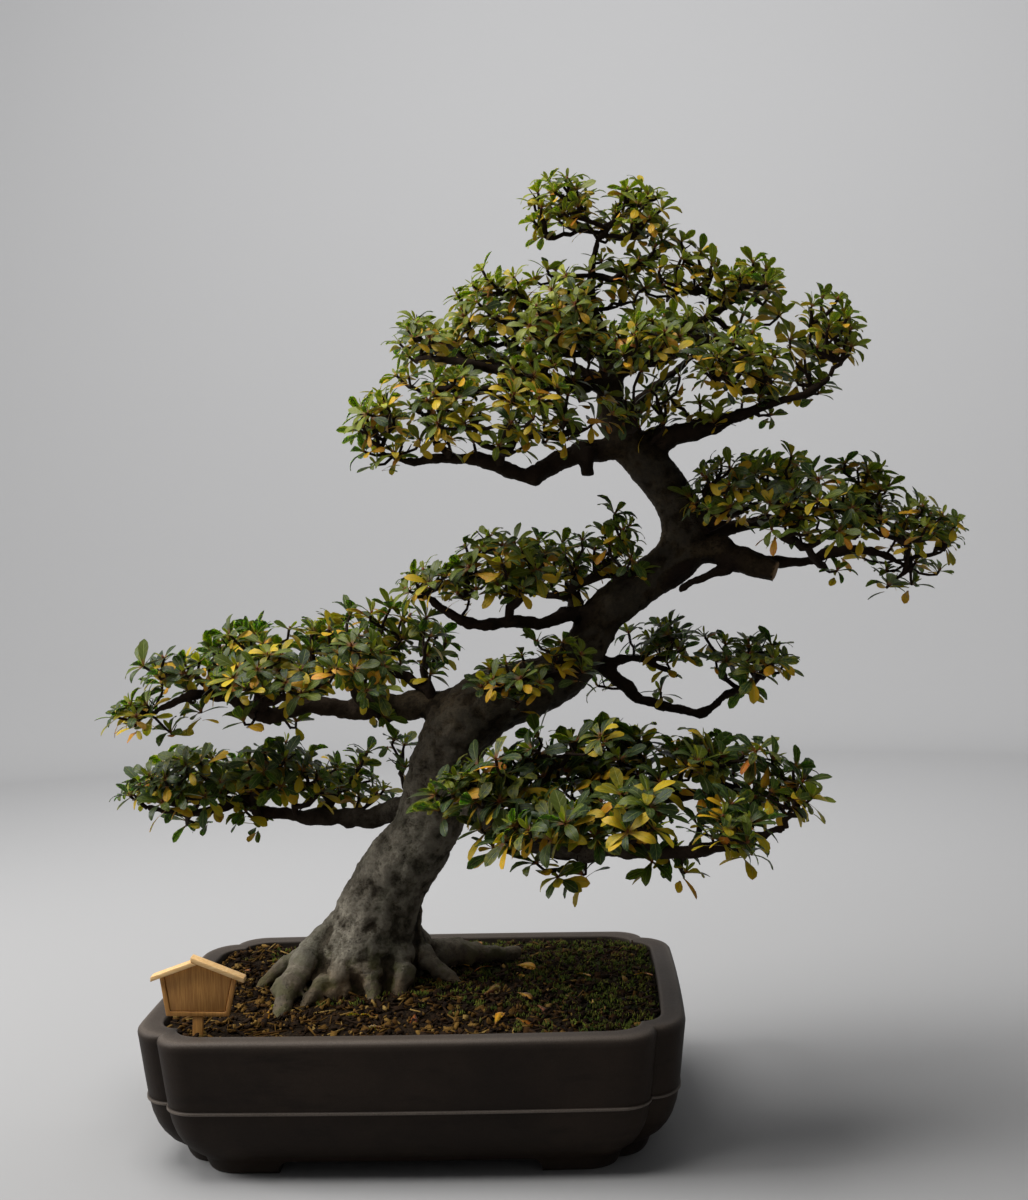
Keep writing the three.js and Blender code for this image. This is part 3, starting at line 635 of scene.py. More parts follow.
def apply_modifier(obj: Object, kind: str, **settings: object) -> None:
    """Adds a modifier to an object and applies it.

    Args:
        obj: The object.
        kind: The modifier's type.
        settings: The modifier's properties.
    """
    activate(obj)
    modifier = obj.modifiers.new(kind.lower(), kind)
    for name, value in settings.items():
        setattr(modifier, name, value)
    bpy.ops.object.modifier_apply(modifier=modifier.name)


def smooth(obj: Object, degrees: float | None = None) -> None:
    """Shades an object smooth, with edges over an angle left sharp where one is given."""
    activate(obj)
    if degrees is None:
        bpy.ops.object.shade_smooth()
    else:
        bpy.ops.object.shade_smooth_by_angle(angle=math.radians(degrees))


def dress(obj: Object, name: str, finish: Material) -> Object:
    """Names an object, gives it its finish and returns it."""
    obj.name = name
    obj.data.name = name
    obj.data.materials.clear()
    obj.data.materials.append(finish)
    return obj


def hand_over(obj: Object, name: str, finish: Material, slot: Slot, *nodes: str) -> None:
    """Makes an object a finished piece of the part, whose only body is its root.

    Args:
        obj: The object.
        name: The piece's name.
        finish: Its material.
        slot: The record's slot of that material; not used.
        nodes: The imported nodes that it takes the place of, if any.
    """
    dress(obj, name, finish)
    if nodes:
        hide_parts(*nodes)
    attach(obj, "root")
    LOG.info("%s: %d faces", name, len(obj.data.polygons))


def set_numbers(mesh: Mesh, name: str, values: np.ndarray) -> None:
    """Keeps a number on each point of a mesh."""
    layer = mesh.attributes.get(name) or mesh.attributes.new(name, "FLOAT", "POINT")
    layer.data.foreach_set("value", np.asarray(values, np.float32))


def points_of(mesh: Mesh) -> np.ndarray:
    """The points of a mesh as rows of X, Y and Z."""
    flat = np.empty(len(mesh.vertices) * 3, np.float32)
    mesh.vertices.foreach_get("co", flat)
    return flat.reshape(-1, 3)


def normals_of(mesh: Mesh) -> np.ndarray:
    """The normals of a mesh's points as rows of X, Y and Z."""
    flat = np.empty(len(mesh.vertices) * 3, np.float32)
    mesh.vertices.foreach_get("normal", flat)
    return flat.reshape(-1, 3)


@dataclass
class Pattern:
    """One modelled shape that is copied many times, as plain arrays."""

    points: np.ndarray
    corners: np.ndarray
    sizes: np.ndarray
    uvs: np.ndarray

    @classmethod
    def of(cls, obj: Object) -> Pattern:
        """Takes the pattern from a modelled object, and removes the object."""
        mesh = obj.data
        corners = np.empty(len(mesh.loops), np.int32)
        mesh.loops.foreach_get("vertex_index", corners)
        sizes = np.empty(len(mesh.polygons), np.int32)
        mesh.polygons.foreach_get("loop_total", sizes)
        uvs = np.zeros(len(mesh.loops) * 2, np.float32)
        if mesh.uv_layers:
            mesh.uv_layers[0].data.foreach_get("uv", uvs)
        made = cls(points_of(mesh).copy(), corners, sizes, uvs.reshape(-1, 2))
        remove(obj)
        return made

    def placed(self, matrix: Matrix) -> np.ndarray:
        """The points of a copy at a place."""
        turn = np.array(matrix.to_3x3(), np.float32)
        return self.points @ turn.T + np.array(matrix.translation, np.float32)


@dataclass
class Copies:
    """Placed copies of patterns, gathered for one piece."""

    patterns: list[Pattern] = field(default_factory=list)
    points: list[np.ndarray] = field(default_factory=list)
    tones: list[float] = field(default_factory=list)

    def add(self, pattern: Pattern, matrix: Matrix, tone: float) -> None:
        """Adds a copy of a pattern.

        Args:
            pattern: The shape.
            matrix: Where it goes.
            tone: Its place in its finish's range of colours.
        """
        self.patterns.append(pattern)
        self.points.append(pattern.placed(matrix))
        self.tones.append(tone)

    def build(self, name: str, degrees: float | None = None) -> Object:
        """Makes one smooth object of all copies.

        Args:
            name: Its name.
            degrees: The angle over which its edges are left sharp, if any.

        Returns:
            The object, with each copy's tone kept on its points.
        """
        mesh = bpy.data.meshes.new(name)
        counts = [len(points) for points in self.points]
        firsts = np.cumsum([0, *counts])
        sizes = np.concatenate([pattern.sizes for pattern in self.patterns])
        corners = np.concatenate([made.corners + first for made, first in zip(self.patterns, firsts)])
        uvs = np.concatenate([pattern.uvs for pattern in self.patterns])
        mesh.vertices.add(firsts[-1])
        mesh.vertices.foreach_set("co", np.concatenate(self.points).ravel())
        mesh.loops.add(len(corners))
        mesh.loops.foreach_set("vertex_index", corners)
        mesh.polygons.add(len(sizes))
        starts = np.concatenate([[0], np.cumsum(sizes)[:-1]]).astype(np.int32)
        mesh.polygons.foreach_set("loop_start", starts)
        mesh.uv_layers.new(name="UVMap").data.foreach_set("uv", uvs.ravel())
        set_numbers(mesh, "tone", np.repeat(self.tones, counts))
        mesh.update(calc_edges=True)
        mesh.validate()
        obj = bpy.data.objects.new(name, mesh)
        link(obj)
        smooth(obj, degrees)
        return obj


def smooth_path(rows: Sequence[Row], step: float) -> list[Knot]:
    """A smooth line through rows of x, y, z and radius.

    Args:
        rows: The rows, in the tree's millimetres.
        step: The distance between its points, about.

    Returns:
        Points with their radius.
    """
    points = [Vector(row[:3]) for row in rows]
    padded = [2 * points[0] - points[1], *points, 2 * points[-1] - points[-2]]
    path = []
    for i in range(len(rows) - 1):
        before, start, end, after = padded[i : i + 4]
        count = max(1, round((end - start).length / step))
        for j in range(count):
            t = j / count
            place = 0.5 * (
                2 * start
                + (end - before) * t
                + (2 * before - 5 * start + 4 * end - after) * t**2
                + (3 * start - before - 3 * end + after) * t**3
            )
            ease = t * t * (3 - 2 * t)
            path.append((place, rows[i][3] * (1 - ease) + rows[i + 1][3] * ease))
    path.append((points[-1], rows[-1][3]))
    return path


def tubes(name: str, paths: Iterable[Sequence[Knot]], roundness: int) -> Object:
    """A mesh of closed tubes along paths.

    Args:
        name: The object's name.
        paths: Lists of points with a radius, in the row frame's metres.
        roundness: Blender's bevel resolution of the section.

    Returns:
        The object.
    """
    curve = bpy.data.curves.new(name, "CURVE")
    curve.dimensions = "3D"
    curve.bevel_depth = 1.0
    curve.bevel_resolution = roundness
    curve.use_fill_caps = True
    for path in paths:
        spline = curve.splines.new("POLY")
        spline.points.add(len(path) - 1)
        for point, (place, radius) in zip(spline.points, path):
            point.co = (*place, 1.0)
            point.radius = radius
    obj = bpy.data.objects.new(name, curve)
    link(obj)
    activate(obj)
    bpy.ops.object.convert(target="MESH")
    return obj


def loft(name: str, rings: Sequence[Sequence[Vector]]) -> Object:
    """A closed body whose face is extruded from ring to ring.

    Args:
        name: The object's name.
        rings: The rings of points, each with the same number.

    Returns:
        The object.
    """
    count = len(rings[0])
    bpy.ops.mesh.primitive_circle_add(vertices=count, radius=1.0, fill_type="NGON")
    body = bpy.context.object
    body.name = name
    for vertex, point in zip(body.data.vertices, rings[0]):
        vertex.co = point
    for before, ring in zip(rings, rings[1:]):
        old = len(body.data.vertices)
        with editing(body, "FACE", "DESELECT"):
            mesh = bmesh.from_edit_mesh(body.data)
            caps = [face for face in mesh.faces if len(face.verts) == count]
            newest = max(caps, key=lambda cap: min(vertex.index for vertex in cap.verts))
            newest.select_set(True)
            bmesh.update_edit_mesh(body.data)
            bpy.ops.mesh.extrude_region_move(TRANSFORM_OT_translate={"value": (0.0, 0.0, 0.0)})
        known = {plan_key(point): i for i, point in enumerate(before)}
        for vertex in list(body.data.vertices)[old:]:
            vertex.co = ring[known[plan_key(vertex.co)]]
    with editing(body):
        bpy.ops.mesh.normals_make_consistent(inside=False)
    return body


def plan_key(point: Vector) -> tuple[float, float]:
    """A point's place in plan, rounded so that equal points share it."""
    return round(point.x, 5), round(point.y, 5)


def add_relief(obj: Object, name: str, size: float, depth: float, group: str, **settings: object) -> None:
    """Displaces an object by clouds.

    Args:
        obj: The object.
        name: The name of the clouds' texture.
        size: Their size in millimetres.
        depth: Their full height in millimetres.
        group: The vertex group that they move.
        settings: More of the modifier's properties.
    """
    texture = bpy.data.textures.new(name, "CLOUDS")
    texture.noise_scale = size * MM
    texture.noise_depth = 3
    settings.update(texture=texture, strength=depth * MM, mid_level=0.5, vertex_group=group)
    apply_modifier(obj, "DISPLACE", **settings)


# The frame of the tree's numbers and the view

POT_MIDDLE = 8.0


@dataclass
class PotFrame:
    """The frame that the tree's millimetres count from, a little in front of the pot's middle."""

    origin: Vector

    @classmethod
    def find(cls) -> PotFrame:
        """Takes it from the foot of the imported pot."""
        low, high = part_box("pot")
        middle = (low + high) / 2
        return cls(Vector((middle.x, middle.y - POT_MIDDLE * MM, low.z)))

    def at(self, point: Sequence[float]) -> Vector:
        """A point of the tree's frame in the row frame's metres."""
        return self.origin + Vector(point[:3]) * MM


@dataclass
class View:
    """The photograph's view, in the tree's frame, with its width, height and focal length in pixels."""

    width: float = 1028.0
    height: float = 1200.0
    focal: float = 1600.0
    sensor: float = 36.0
    eye: Triple = (160.0, -1495.0, 525.0)
    yaw: float = 2.45
    pitch: float = -1.6
    roll: float = 1.6

    def axes(self) -> tuple[Vector, Vector, Vector]:
        """The directions to the right, up and ahead."""
        yaw, pitch, roll = (math.radians(angle) for angle in (self.yaw, self.pitch, self.roll))
        ahead = Vector((-math.sin(yaw) * math.cos(pitch), math.cos(yaw) * math.cos(pitch), math.sin(pitch)))
        level = Vector((math.cos(yaw), math.sin(yaw), 0.0))
        over = level.cross(ahead)
        right = math.cos(roll) * level - math.sin(roll) * over
        up = math.sin(roll) * level + math.cos(roll) * over
        return right, up, ahead

    def lift(self, pixel: Pixel, depth: float) -> Vector:
        """Finds the point of the tree that a pixel of the photograph shows.

        Args:
            pixel: The pixel's place from the left and the top.
            depth: The point's Y in the tree's frame.

        Returns:
            The point in the tree's frame.
        """
        right, up, ahead = self.axes()
        across = (pixel[0] - self.width / 2) / self.focal
        over = (self.height / 2 - pixel[1]) / self.focal
        ray = ahead + right * across + up * over
        eye = Vector(self.eye)
        return eye + ray * ((depth - eye.y) / ray.y)

    def build(self, frame: PotFrame) -> None:
        """Adds the camera and makes it the scene's."""
        right, up, ahead = self.axes()
        data = bpy.data.cameras.new("camera")
        data.sensor_width = self.sensor
        data.lens = self.sensor * self.focal / self.height
        data.clip_start = 0.05
        data.clip_end = 50.0
        camera = bpy.data.objects.new("camera", data)
        turn = Matrix((right, up, -ahead)).transposed().to_4x4()
        camera.matrix_world = Matrix.Translation(frame.at(self.eye)) @ turn
        link(camera)
        bpy.context.scene.camera = camera


@dataclass(frozen=True)
class Lamp:
    """A square area light, in metres."""

    name: str
    place: Triple
    aim: Triple
    size: float
    watts: float
    colour: Colour

    def hang(self) -> None:
        """Adds the light, turned to what it is aimed at."""
        data = bpy.data.lights.new(self.name, "AREA")
        data.size = self.size
        data.energy = self.watts
        data.color = self.colour
        light = bpy.data.objects.new(self.name, data)
        light.location = self.place
        ray = Vector(self.aim) - Vector(self.place)
        light.rotation_euler = ray.to_track_quat("-Z", "Y").to_euler()
        link(light)


@dataclass
class Studio:
    """A plain pale bowl of a floor with a wide soft light overhead, in metres."""

    floor_radius: float = 2.7
    floor_inset: float = 0.945
    floor_sides: int = 96
    rim_radius: float = 3.5
    rim_height: float = 2.6
    cove_steps: int = 14
    sky: float = 0.09
    sky_colour: Colour = (0.95, 0.975, 1.0)
    lamps: tuple[Lamp, ...] = (
        Lamp("overhead", (-0.70, -0.25, 2.5), (0.0, 0.0, 0.4), 1.6, 68.0, (1.0, 0.985, 0.96)),
        Lamp("key", (-2.20, -0.25, 1.45), (0.0, 0.0, 0.35), 1.0, 48.0, (1.0, 0.99, 0.97)),
        Lamp("backdrop", (0.0, 1.2, 2.6), (0.0, 3.5, 1.3), 2.0, 88.0, WHITE),
    )

    def build(self) -> None:
        """Adds the floor, the lights and the sky."""
        sides = self.floor_sides
        bpy.ops.mesh.primitive_circle_add(vertices=sides, radius=self.floor_radius, fill_type="NGON")
        floor = bpy.context.object
        with editing(floor):
            bpy.ops.mesh.inset(thickness=self.floor_inset)
        self._raise_rim(floor)
        smooth(floor)
        dress(floor, "stage_floor", PaleStage().make())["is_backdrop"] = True
        for lamp in self.lamps:
            lamp.hang()
        world = bpy.data.worlds.new("sky")
        world.use_nodes = True
        light = world.node_tree.nodes["Background"].inputs
        light["Color"].default_value = (*self.sky_colour, 1.0)
        light["Strength"].default_value = self.sky
        bpy.context.scene.world = world
        bpy.context.scene.view_settings.view_transform = "Standard"
        LOG.info("stage: floor, %d lights and sky", len(self.lamps))

    def _raise_rim(self, floor: Object) -> None:
        """Extrudes the floor's edge outwards and up in a round cove."""
        with editing(floor, "EDGE", "DESELECT"):
            mesh = bmesh.from_edit_mesh(floor.data)
            for edge in mesh.edges:
                edge.select = edge.is_boundary
            bmesh.update_edit_mesh(floor.data)
            radius = self.floor_radius
            height = 0.0
            for i in range(1, self.cove_steps + 1):
                angle = i / self.cove_steps * math.pi / 2
                wide = self.floor_radius + (self.rim_radius - self.floor_radius) * math.sin(angle)
                high = self.rim_height * (1 - math.cos(angle))
                bpy.ops.mesh.extrude_edges_move(TRANSFORM_OT_translate={"value": (0.0, 0.0, high - height)})
                bpy.ops.transform.resize(value=(wide / radius, wide / radius, 1.0))
                radius, height = wide, high


# The pot


@dataclass(frozen=True)
class Groove:
    """The upright groove of each corner, where a round from the long side meets one from the short."""

    from_side: float
    from_front: float
    face_round: float
    side_round: float


@dataclass
class Pot:
    """The stoneware pot: stepped corners, a raised band, an out-turned rim and four feet.

    The rows outside and inside hold a height, how far in the wall stands there, and its wear, which is also
    a painted highlight on the band's top and the rim.
    """

    frame: PotFrame
    width: float = 480.0
    depth: float = 376.0
    foot: float = 12.0
    floor: float = 24.0
    bow: float = 3.0
    foot_inset: float = 35.0
    foot_length: float = 92.0
    foot_round: float = 9.0
    drain_radius: float = 13.0
    drain_spacing: float = 190.0
    outer_groove: Groove = Groove(27.0, 28.0, 28.0, 42.0)
    inner_groove: Groove = Groove(19.0, 27.0, 30.0, 30.0)
    drain_sides: int = 40
    arc_steps: int = 9
    side_steps: int = 8
    foot_steps: int = 6
    sharp_angle: float = 38.0
    outside: tuple[Triple, ...] = (
        (0.0, 36.2, 0.2), (0.7, 35.0, 0.3), (4.0, 33.4, 0.1), (12.0, 31.0, 0.0), (15.0, 28.2, 0.0),
        (22.0, 21.0, 0.0), (30.0, 15.7, 0.0), (38.0, 12.0, 0.0), (48.0, 9.0, 0.0), (57.0, 7.4, 0.0),
        (59.8, 7.0, 0.0), (60.4, 5.8, 0.4), (60.9, 5.3, 1.0), (62.4, 5.3, 1.0), (62.9, 5.9, 0.4),
        (63.4, 6.5, 0.0), (66.0, 6.0, 0.0), (80.0, 4.4, 0.0), (100.0, 2.3, 0.0), (115.0, 0.7, 0.0),
        (119.0, 0.2, 0.1), (121.2, 0.6, 0.3), (122.8, 1.8, 0.7), (123.7, 3.5, 0.8), (124.0, 5.4, 0.6),
        (124.0, 10.0, 0.4),
    )
    inside: tuple[Triple, ...] = (
        (124.0, 17.6, 0.4), (123.7, 19.4, 0.6), (122.8, 20.6, 0.4), (121.0, 21.1, 0.1),
        (90.0, 21.6, 0.0), (60.0, 22.0, 0.0), (30.0, 32.0, 0.0), (24.0, 38.0, 0.0),
    )

    def outline(self, inset: float, groove: Groove) -> list[Vector]:
        """The plan of the wall, set in all round.

        Args:
            inset: How far in the wall stands.
            groove: The groove of its corners.

        Returns:
            Points round the pot, always as many.
        """
        half_width = self.width / 2 - inset
        half_depth = self.depth / 2 - inset
        points: list[Vector] = []
        for quarter, (sx, sy) in enumerate(((1, -1), (1, 1), (-1, 1), (-1, -1))):
            gx = sx * (half_width - groove.from_side)
            gy = sy * (half_depth - groove.from_front) + POT_MIDDLE
            front = (gx - sx * groove.face_round, gy, groove.face_round, groove.from_front)
            side = (gx, gy - sy * groove.side_round, groove.from_side, groove.side_round)
            arcs = (front, side) if quarter % 2 == 0 else (side, front)
            start = (quarter - 1) * math.pi / 2
            for n, (cx, cy, rx, ry) in enumerate(arcs):
                for i in range(1 if n else 0, self.arc_steps + 1):
                    angle = start + i / self.arc_steps * math.pi / 2
                    points.append(Vector((cx + rx * math.cos(angle), cy + ry * math.sin(angle))))
        return self._with_bowed_sides(points)

    def _with_bowed_sides(self, corners: list[Vector]) -> list[Vector]:
        """Adds the points of the four long sides, which bow outwards a little."""
        per_corner = 2 * self.arc_steps + 1
        normals = (Vector((1, 0)), Vector((0, 1)), Vector((-1, 0)), Vector((0, -1)))
        points: list[Vector] = []
        for quarter in range(4):
            corner = corners[quarter * per_corner : (quarter + 1) * per_corner]
            following = corners[((quarter + 1) % 4) * per_corner]
            points.extend(corner)
            bow = self.bow / 2 if quarter % 2 == 0 else self.bow
            for i in range(1, self.side_steps):
                t = i / self.side_steps
                out = bow * (1 - (2 * t - 1) ** 2)
                points.append(corner[-1].lerp(following, t) + normals[quarter] * out)
        return points

    def build(self, clay: Material) -> None:
        """Builds the pot and puts it in place of the plain one."""
        rings = []
        wear_and_highlight_values = []
        for rows, groove in ((self.outside, self.outer_groove), (self.inside, self.inner_groove)):
            for z, inset, worn in rows:
                outline = self.outline(inset, groove)
                rings.append([self.frame.at((point.x, point.y, z)) for point in outline])
                wear_and_highlight_values.extend([worn] * len(outline))
        pot = loft("pot_wall", rings)
        set_numbers(pot.data, "worn", np.array(wear_and_highlight_values))
        self._cut_arches(pot)
        self._cut_drains(pot)
        smooth(pot, self.sharp_angle)
        hand_over(pot, "pot_wall", clay, Slot.STONEWARE, "pot")

    def _cut_arches(self, pot: Object) -> None:
        """Cuts the arches between the feet, along the pot and across it."""
        span = self.foot_inset + self.foot_length
        through = 2 * self.width
        for long_side in (True, False):
            gap = (self.width if long_side else self.depth) - 2 * span
            size = (gap, through, 2 * self.foot) if long_side else (through, gap, 2 * self.foot)
            bpy.ops.mesh.primitive_cube_add(size=1.0, location=self.frame.at((0, POT_MIDDLE, 0)))
            cutter = bpy.context.object
            cutter.scale = Vector(size) * MM
            fix_transform(cutter)
            self._round_arch(cutter, long_side)
            self._cut(pot, cutter)

    def _cut_drains(self, pot: Object) -> None:
        """Cuts the two drain holes."""
        for x in (-self.drain_spacing / 2, self.drain_spacing / 2):
            bpy.ops.mesh.primitive_cylinder_add(
                vertices=self.drain_sides,
                radius=self.drain_radius * MM,
                depth=3 * self.floor * MM,
                location=self.frame.at((x, POT_MIDDLE, self.floor)),
            )
            self._cut(pot, bpy.context.object)

    def _round_arch(self, cutter: Object, long_side: bool) -> None:
        """Rounds the two upper edges of an arch.

        Args:
            cutter: The block that cuts the arch.
            long_side: Whether the arch is under the pot's long sides.
        """
        with editing(cutter, "EDGE", "DESELECT"):
            mesh = bmesh.from_edit_mesh(cutter.data)
            top = max(vertex.co.z for vertex in mesh.verts)
            for edge in mesh.edges:
                start, end = edge.verts
                along = abs(end.co.y - start.co.y) if long_side else abs(end.co.x - start.co.x)
                through = along > self.depth / 2 * MM
                edge.select_set(through and min(start.co.z, end.co.z) > top - 0.01 * MM)
            bmesh.update_edit_mesh(cutter.data)
            bpy.ops.mesh.bevel(offset=self.foot_round * MM, segments=self.foot_steps, affect="EDGES")

    @staticmethod
    def _cut(pot: Object, cutter: Object) -> None:
        """Cuts the pot by another object, and removes that object."""
        apply_modifier(pot, "BOOLEAN", operation="DIFFERENCE", solver="EXACT", object=cutter)
        remove(cutter)


# The wood of the tree

TRUNK: tuple[Row, ...] = (
    (-62, 18, 94, 58), (-62, 17, 118, 65), (-59, 15, 141, 57), (-51, 14, 164, 47), (-43, 14, 187, 40),
    (-25, 12, 226, 35), (6, 8, 267, 33), (22, 2, 315, 32), (30, 0, 340, 33), (44, -4, 366, 34),
    (68, -8, 386, 32), (100, -10, 398, 29), (130, -10, 408, 26), (153, -8, 426, 22), (166, -5, 446, 20),
    (180, 0, 468, 20), (200, 4, 485, 20), (224, 8, 500, 20), (248, 10, 517, 22), (258, 12, 536, 23),
    (255, 14, 558, 21), (243, 14, 582, 20), (227, 12, 603, 20), (210, 10, 622, 19), (198, 8, 645, 16),
    (191, 6, 668, 13), (193, 4, 695, 11), (183, 2, 728, 8), (174, 0, 760, 6), (177, 0, 788, 4.5),
    (183, 0, 815, 3),
)

ROOTS: tuple[tuple[Row, ...], ...] = (
    (
        (-96, -2, 158, 18), (-112, -34, 144, 14), (-117, -66, 132, 11), (-121, -88, 122, 8),
        (-122, -104, 108, 4),
    ),
    ((-103, 12, 154, 14), (-134, 9, 138, 8), (-153, 6, 124, 5.5), (-166, 4, 108, 3)),
    ((-82, -30, 141, 9), (-92, -52, 131, 6), (-101, -72, 121, 4.5), (-106, -84, 108, 3)),
    ((-68, -22, 150, 14), (-78, -42, 133, 9), (-85, -56, 120, 6), (-90, -66, 107, 3.5)),
    ((-60, -26, 144, 9), (-67, -40, 130, 6), (-71, -50, 118, 4), (-73, -56, 108, 3)),
    ((-45, -18, 150, 15), (-43, -38, 132, 10), (-41, -53, 118, 7), (-40, -62, 105, 3.5)),
    ((-26, 0, 160, 18), (-20, -14, 144, 14), (-18, -29, 129, 10), (-18, -38, 114, 6)),
    ((-14, 14, 156, 14), (8, 8, 140, 9), (26, 4, 126, 6), (44, 0, 116, 4), (58, -4, 108, 3)),
    ((-22, 24, 154, 16), (16, 44, 141, 13), (48, 60, 136, 10), (74, 74, 133, 7), (90, 82, 131, 4.5)),
    ((-92, 46, 150, 16), (-120, 80, 132, 10), (-140, 100, 119, 6), (-150, 110, 107, 3.5)),
    ((-56, 56, 150, 17), (-50, 95, 131, 11), (-48, 120, 119, 7), (-46, 135, 106, 4)),
    ((-24, 50, 148, 14), (0, 85, 131, 9), (12, 105, 119, 6), (20, 118, 106, 3.5)),
)

SAWN_ROOT = 8

LIMBS: dict[str, tuple[Row, ...]] = {
    "left_upper": (
        (66, -6, 390, 18), (23, 3, 388, 16), (-15, 5, 386, 14), (-61, -5, 385, 11), (-97, -15, 390, 9),
        (-133, -20, 383, 8), (-183, -26, 404, 6), (-215, -30, 400, 4.5), (-240, -30, 388, 3),
    ),
    "left_lower": (
        (15, 18, 294, 15), (-14, 40, 286, 12), (-45, 55, 273, 10), (-94, 65, 273, 8.5),
        (-139, 65, 276, 7), (-182, 60, 288, 5), (-224, 50, 281, 4), (-270, 45, 288, 3),
    ),
    "middle_left": (
        (176, 0, 461, 12), (153, -10, 470, 9), (120, -22, 463, 7), (84, -32, 463, 6), (57, -38, 464, 5),
        (35, -40, 476, 4), (18, -42, 490, 3),
    ),
    "middle_right": (
        (160, 0, 428, 11), (184, 5, 411, 7), (208, 8, 389, 5.5), (242, 10, 378, 5), (270, 10, 373, 4.5),
        (291, 10, 388, 4), (318, 10, 398, 3),
    ),
    "middle_right_upper": (
        (166, 4, 426, 7), (184, 6, 422, 5), (206, 8, 426, 4), (227, 8, 419, 3.5), (248, 8, 406, 3),
    ),
    "front_lower": (
        (22, -5, 318, 17), (62, -50, 292, 13), (108, -85, 270, 11), (148, -100, 265, 9.5),
        (195, -110, 267, 8), (245, -115, 265, 6.5), (290, -115, 273, 5), (330, -115, 284, 3.5),
    ),
    "front_back": (
        (108, -82, 270, 9), (150, -70, 285, 7), (205, -60, 300, 6), (262, -55, 306, 5),
        (310, -60, 304, 3.5),
    ),
    "right": ((252, 10, 528, 20), (276, 4, 527, 15), (310, -6, 514, 12), (340, -15, 503, 10)),
    "right_spur": (
        (302, -6, 514, 6), (292, -10, 506, 4.5), (276, -12, 502, 4), (260, -12, 494, 3.5),
        (249, -12, 489, 3),
    ),
    "right_far": (
        (300, -4, 520, 9), (332, 2, 514, 6), (363, 4, 511, 5), (391, 4, 519, 5), (430, 3, 520, 4),
        (464, 0, 503, 3),
    ),
    "right_back": ((258, 14, 526, 12), (284, 42, 541, 7), (333, 58, 550, 6), (385, 60, 552, 4)),
    "crown_lower_left": (
        (206, 10, 628, 14), (153, -5, 616, 10), (133, -14, 606, 9), (117, -20, 597, 9),
        (100, -25, 601, 8), (78, -30, 611, 6.5), (40, -30, 616, 5), (8, -32, 612, 4), (-10, -35, 618, 3),
    ),
    "crown_middle_left": (
        (193, 4, 686, 10), (152, -18, 680, 8), (131, -28, 681, 7), (112, -34, 685, 6), (90, -40, 693, 5),
        (60, -44, 700, 4), (30, -44, 706, 3),
    ),
    "crown_right": (
        (216, 11, 622, 13), (252, 5, 633, 9), (288, 0, 642, 7), (320, 0, 652, 6), (346, 0, 661, 5),
        (372, 0, 666, 4), (394, 0, 682, 3),
    ),
    "crown_upper_right": (
        (194, 4, 690, 9), (227, 14, 704, 7), (243, 20, 720, 6), (268, 24, 736, 5), (302, 25, 752, 3.5),
    ),
    "crown_back": (
        (212, 12, 622, 12), (205, 42, 650, 8), (190, 66, 682, 6), (160, 74, 706, 5), (120, 68, 712, 3.5),
    ),
    "crown_back_right": ((206, 44, 652, 7), (232, 68, 680, 5.5), (262, 78, 704, 4), (280, 80, 718, 3)),
    "upper_stub": ((170, -8, 624, 8), (167, -10, 608, 7), (168, -11, 597, 6)),
    "crown_stub": ((114, -34, 688, 7), (108, -36, 676, 6.5), (104, -37, 668, 6)),
}


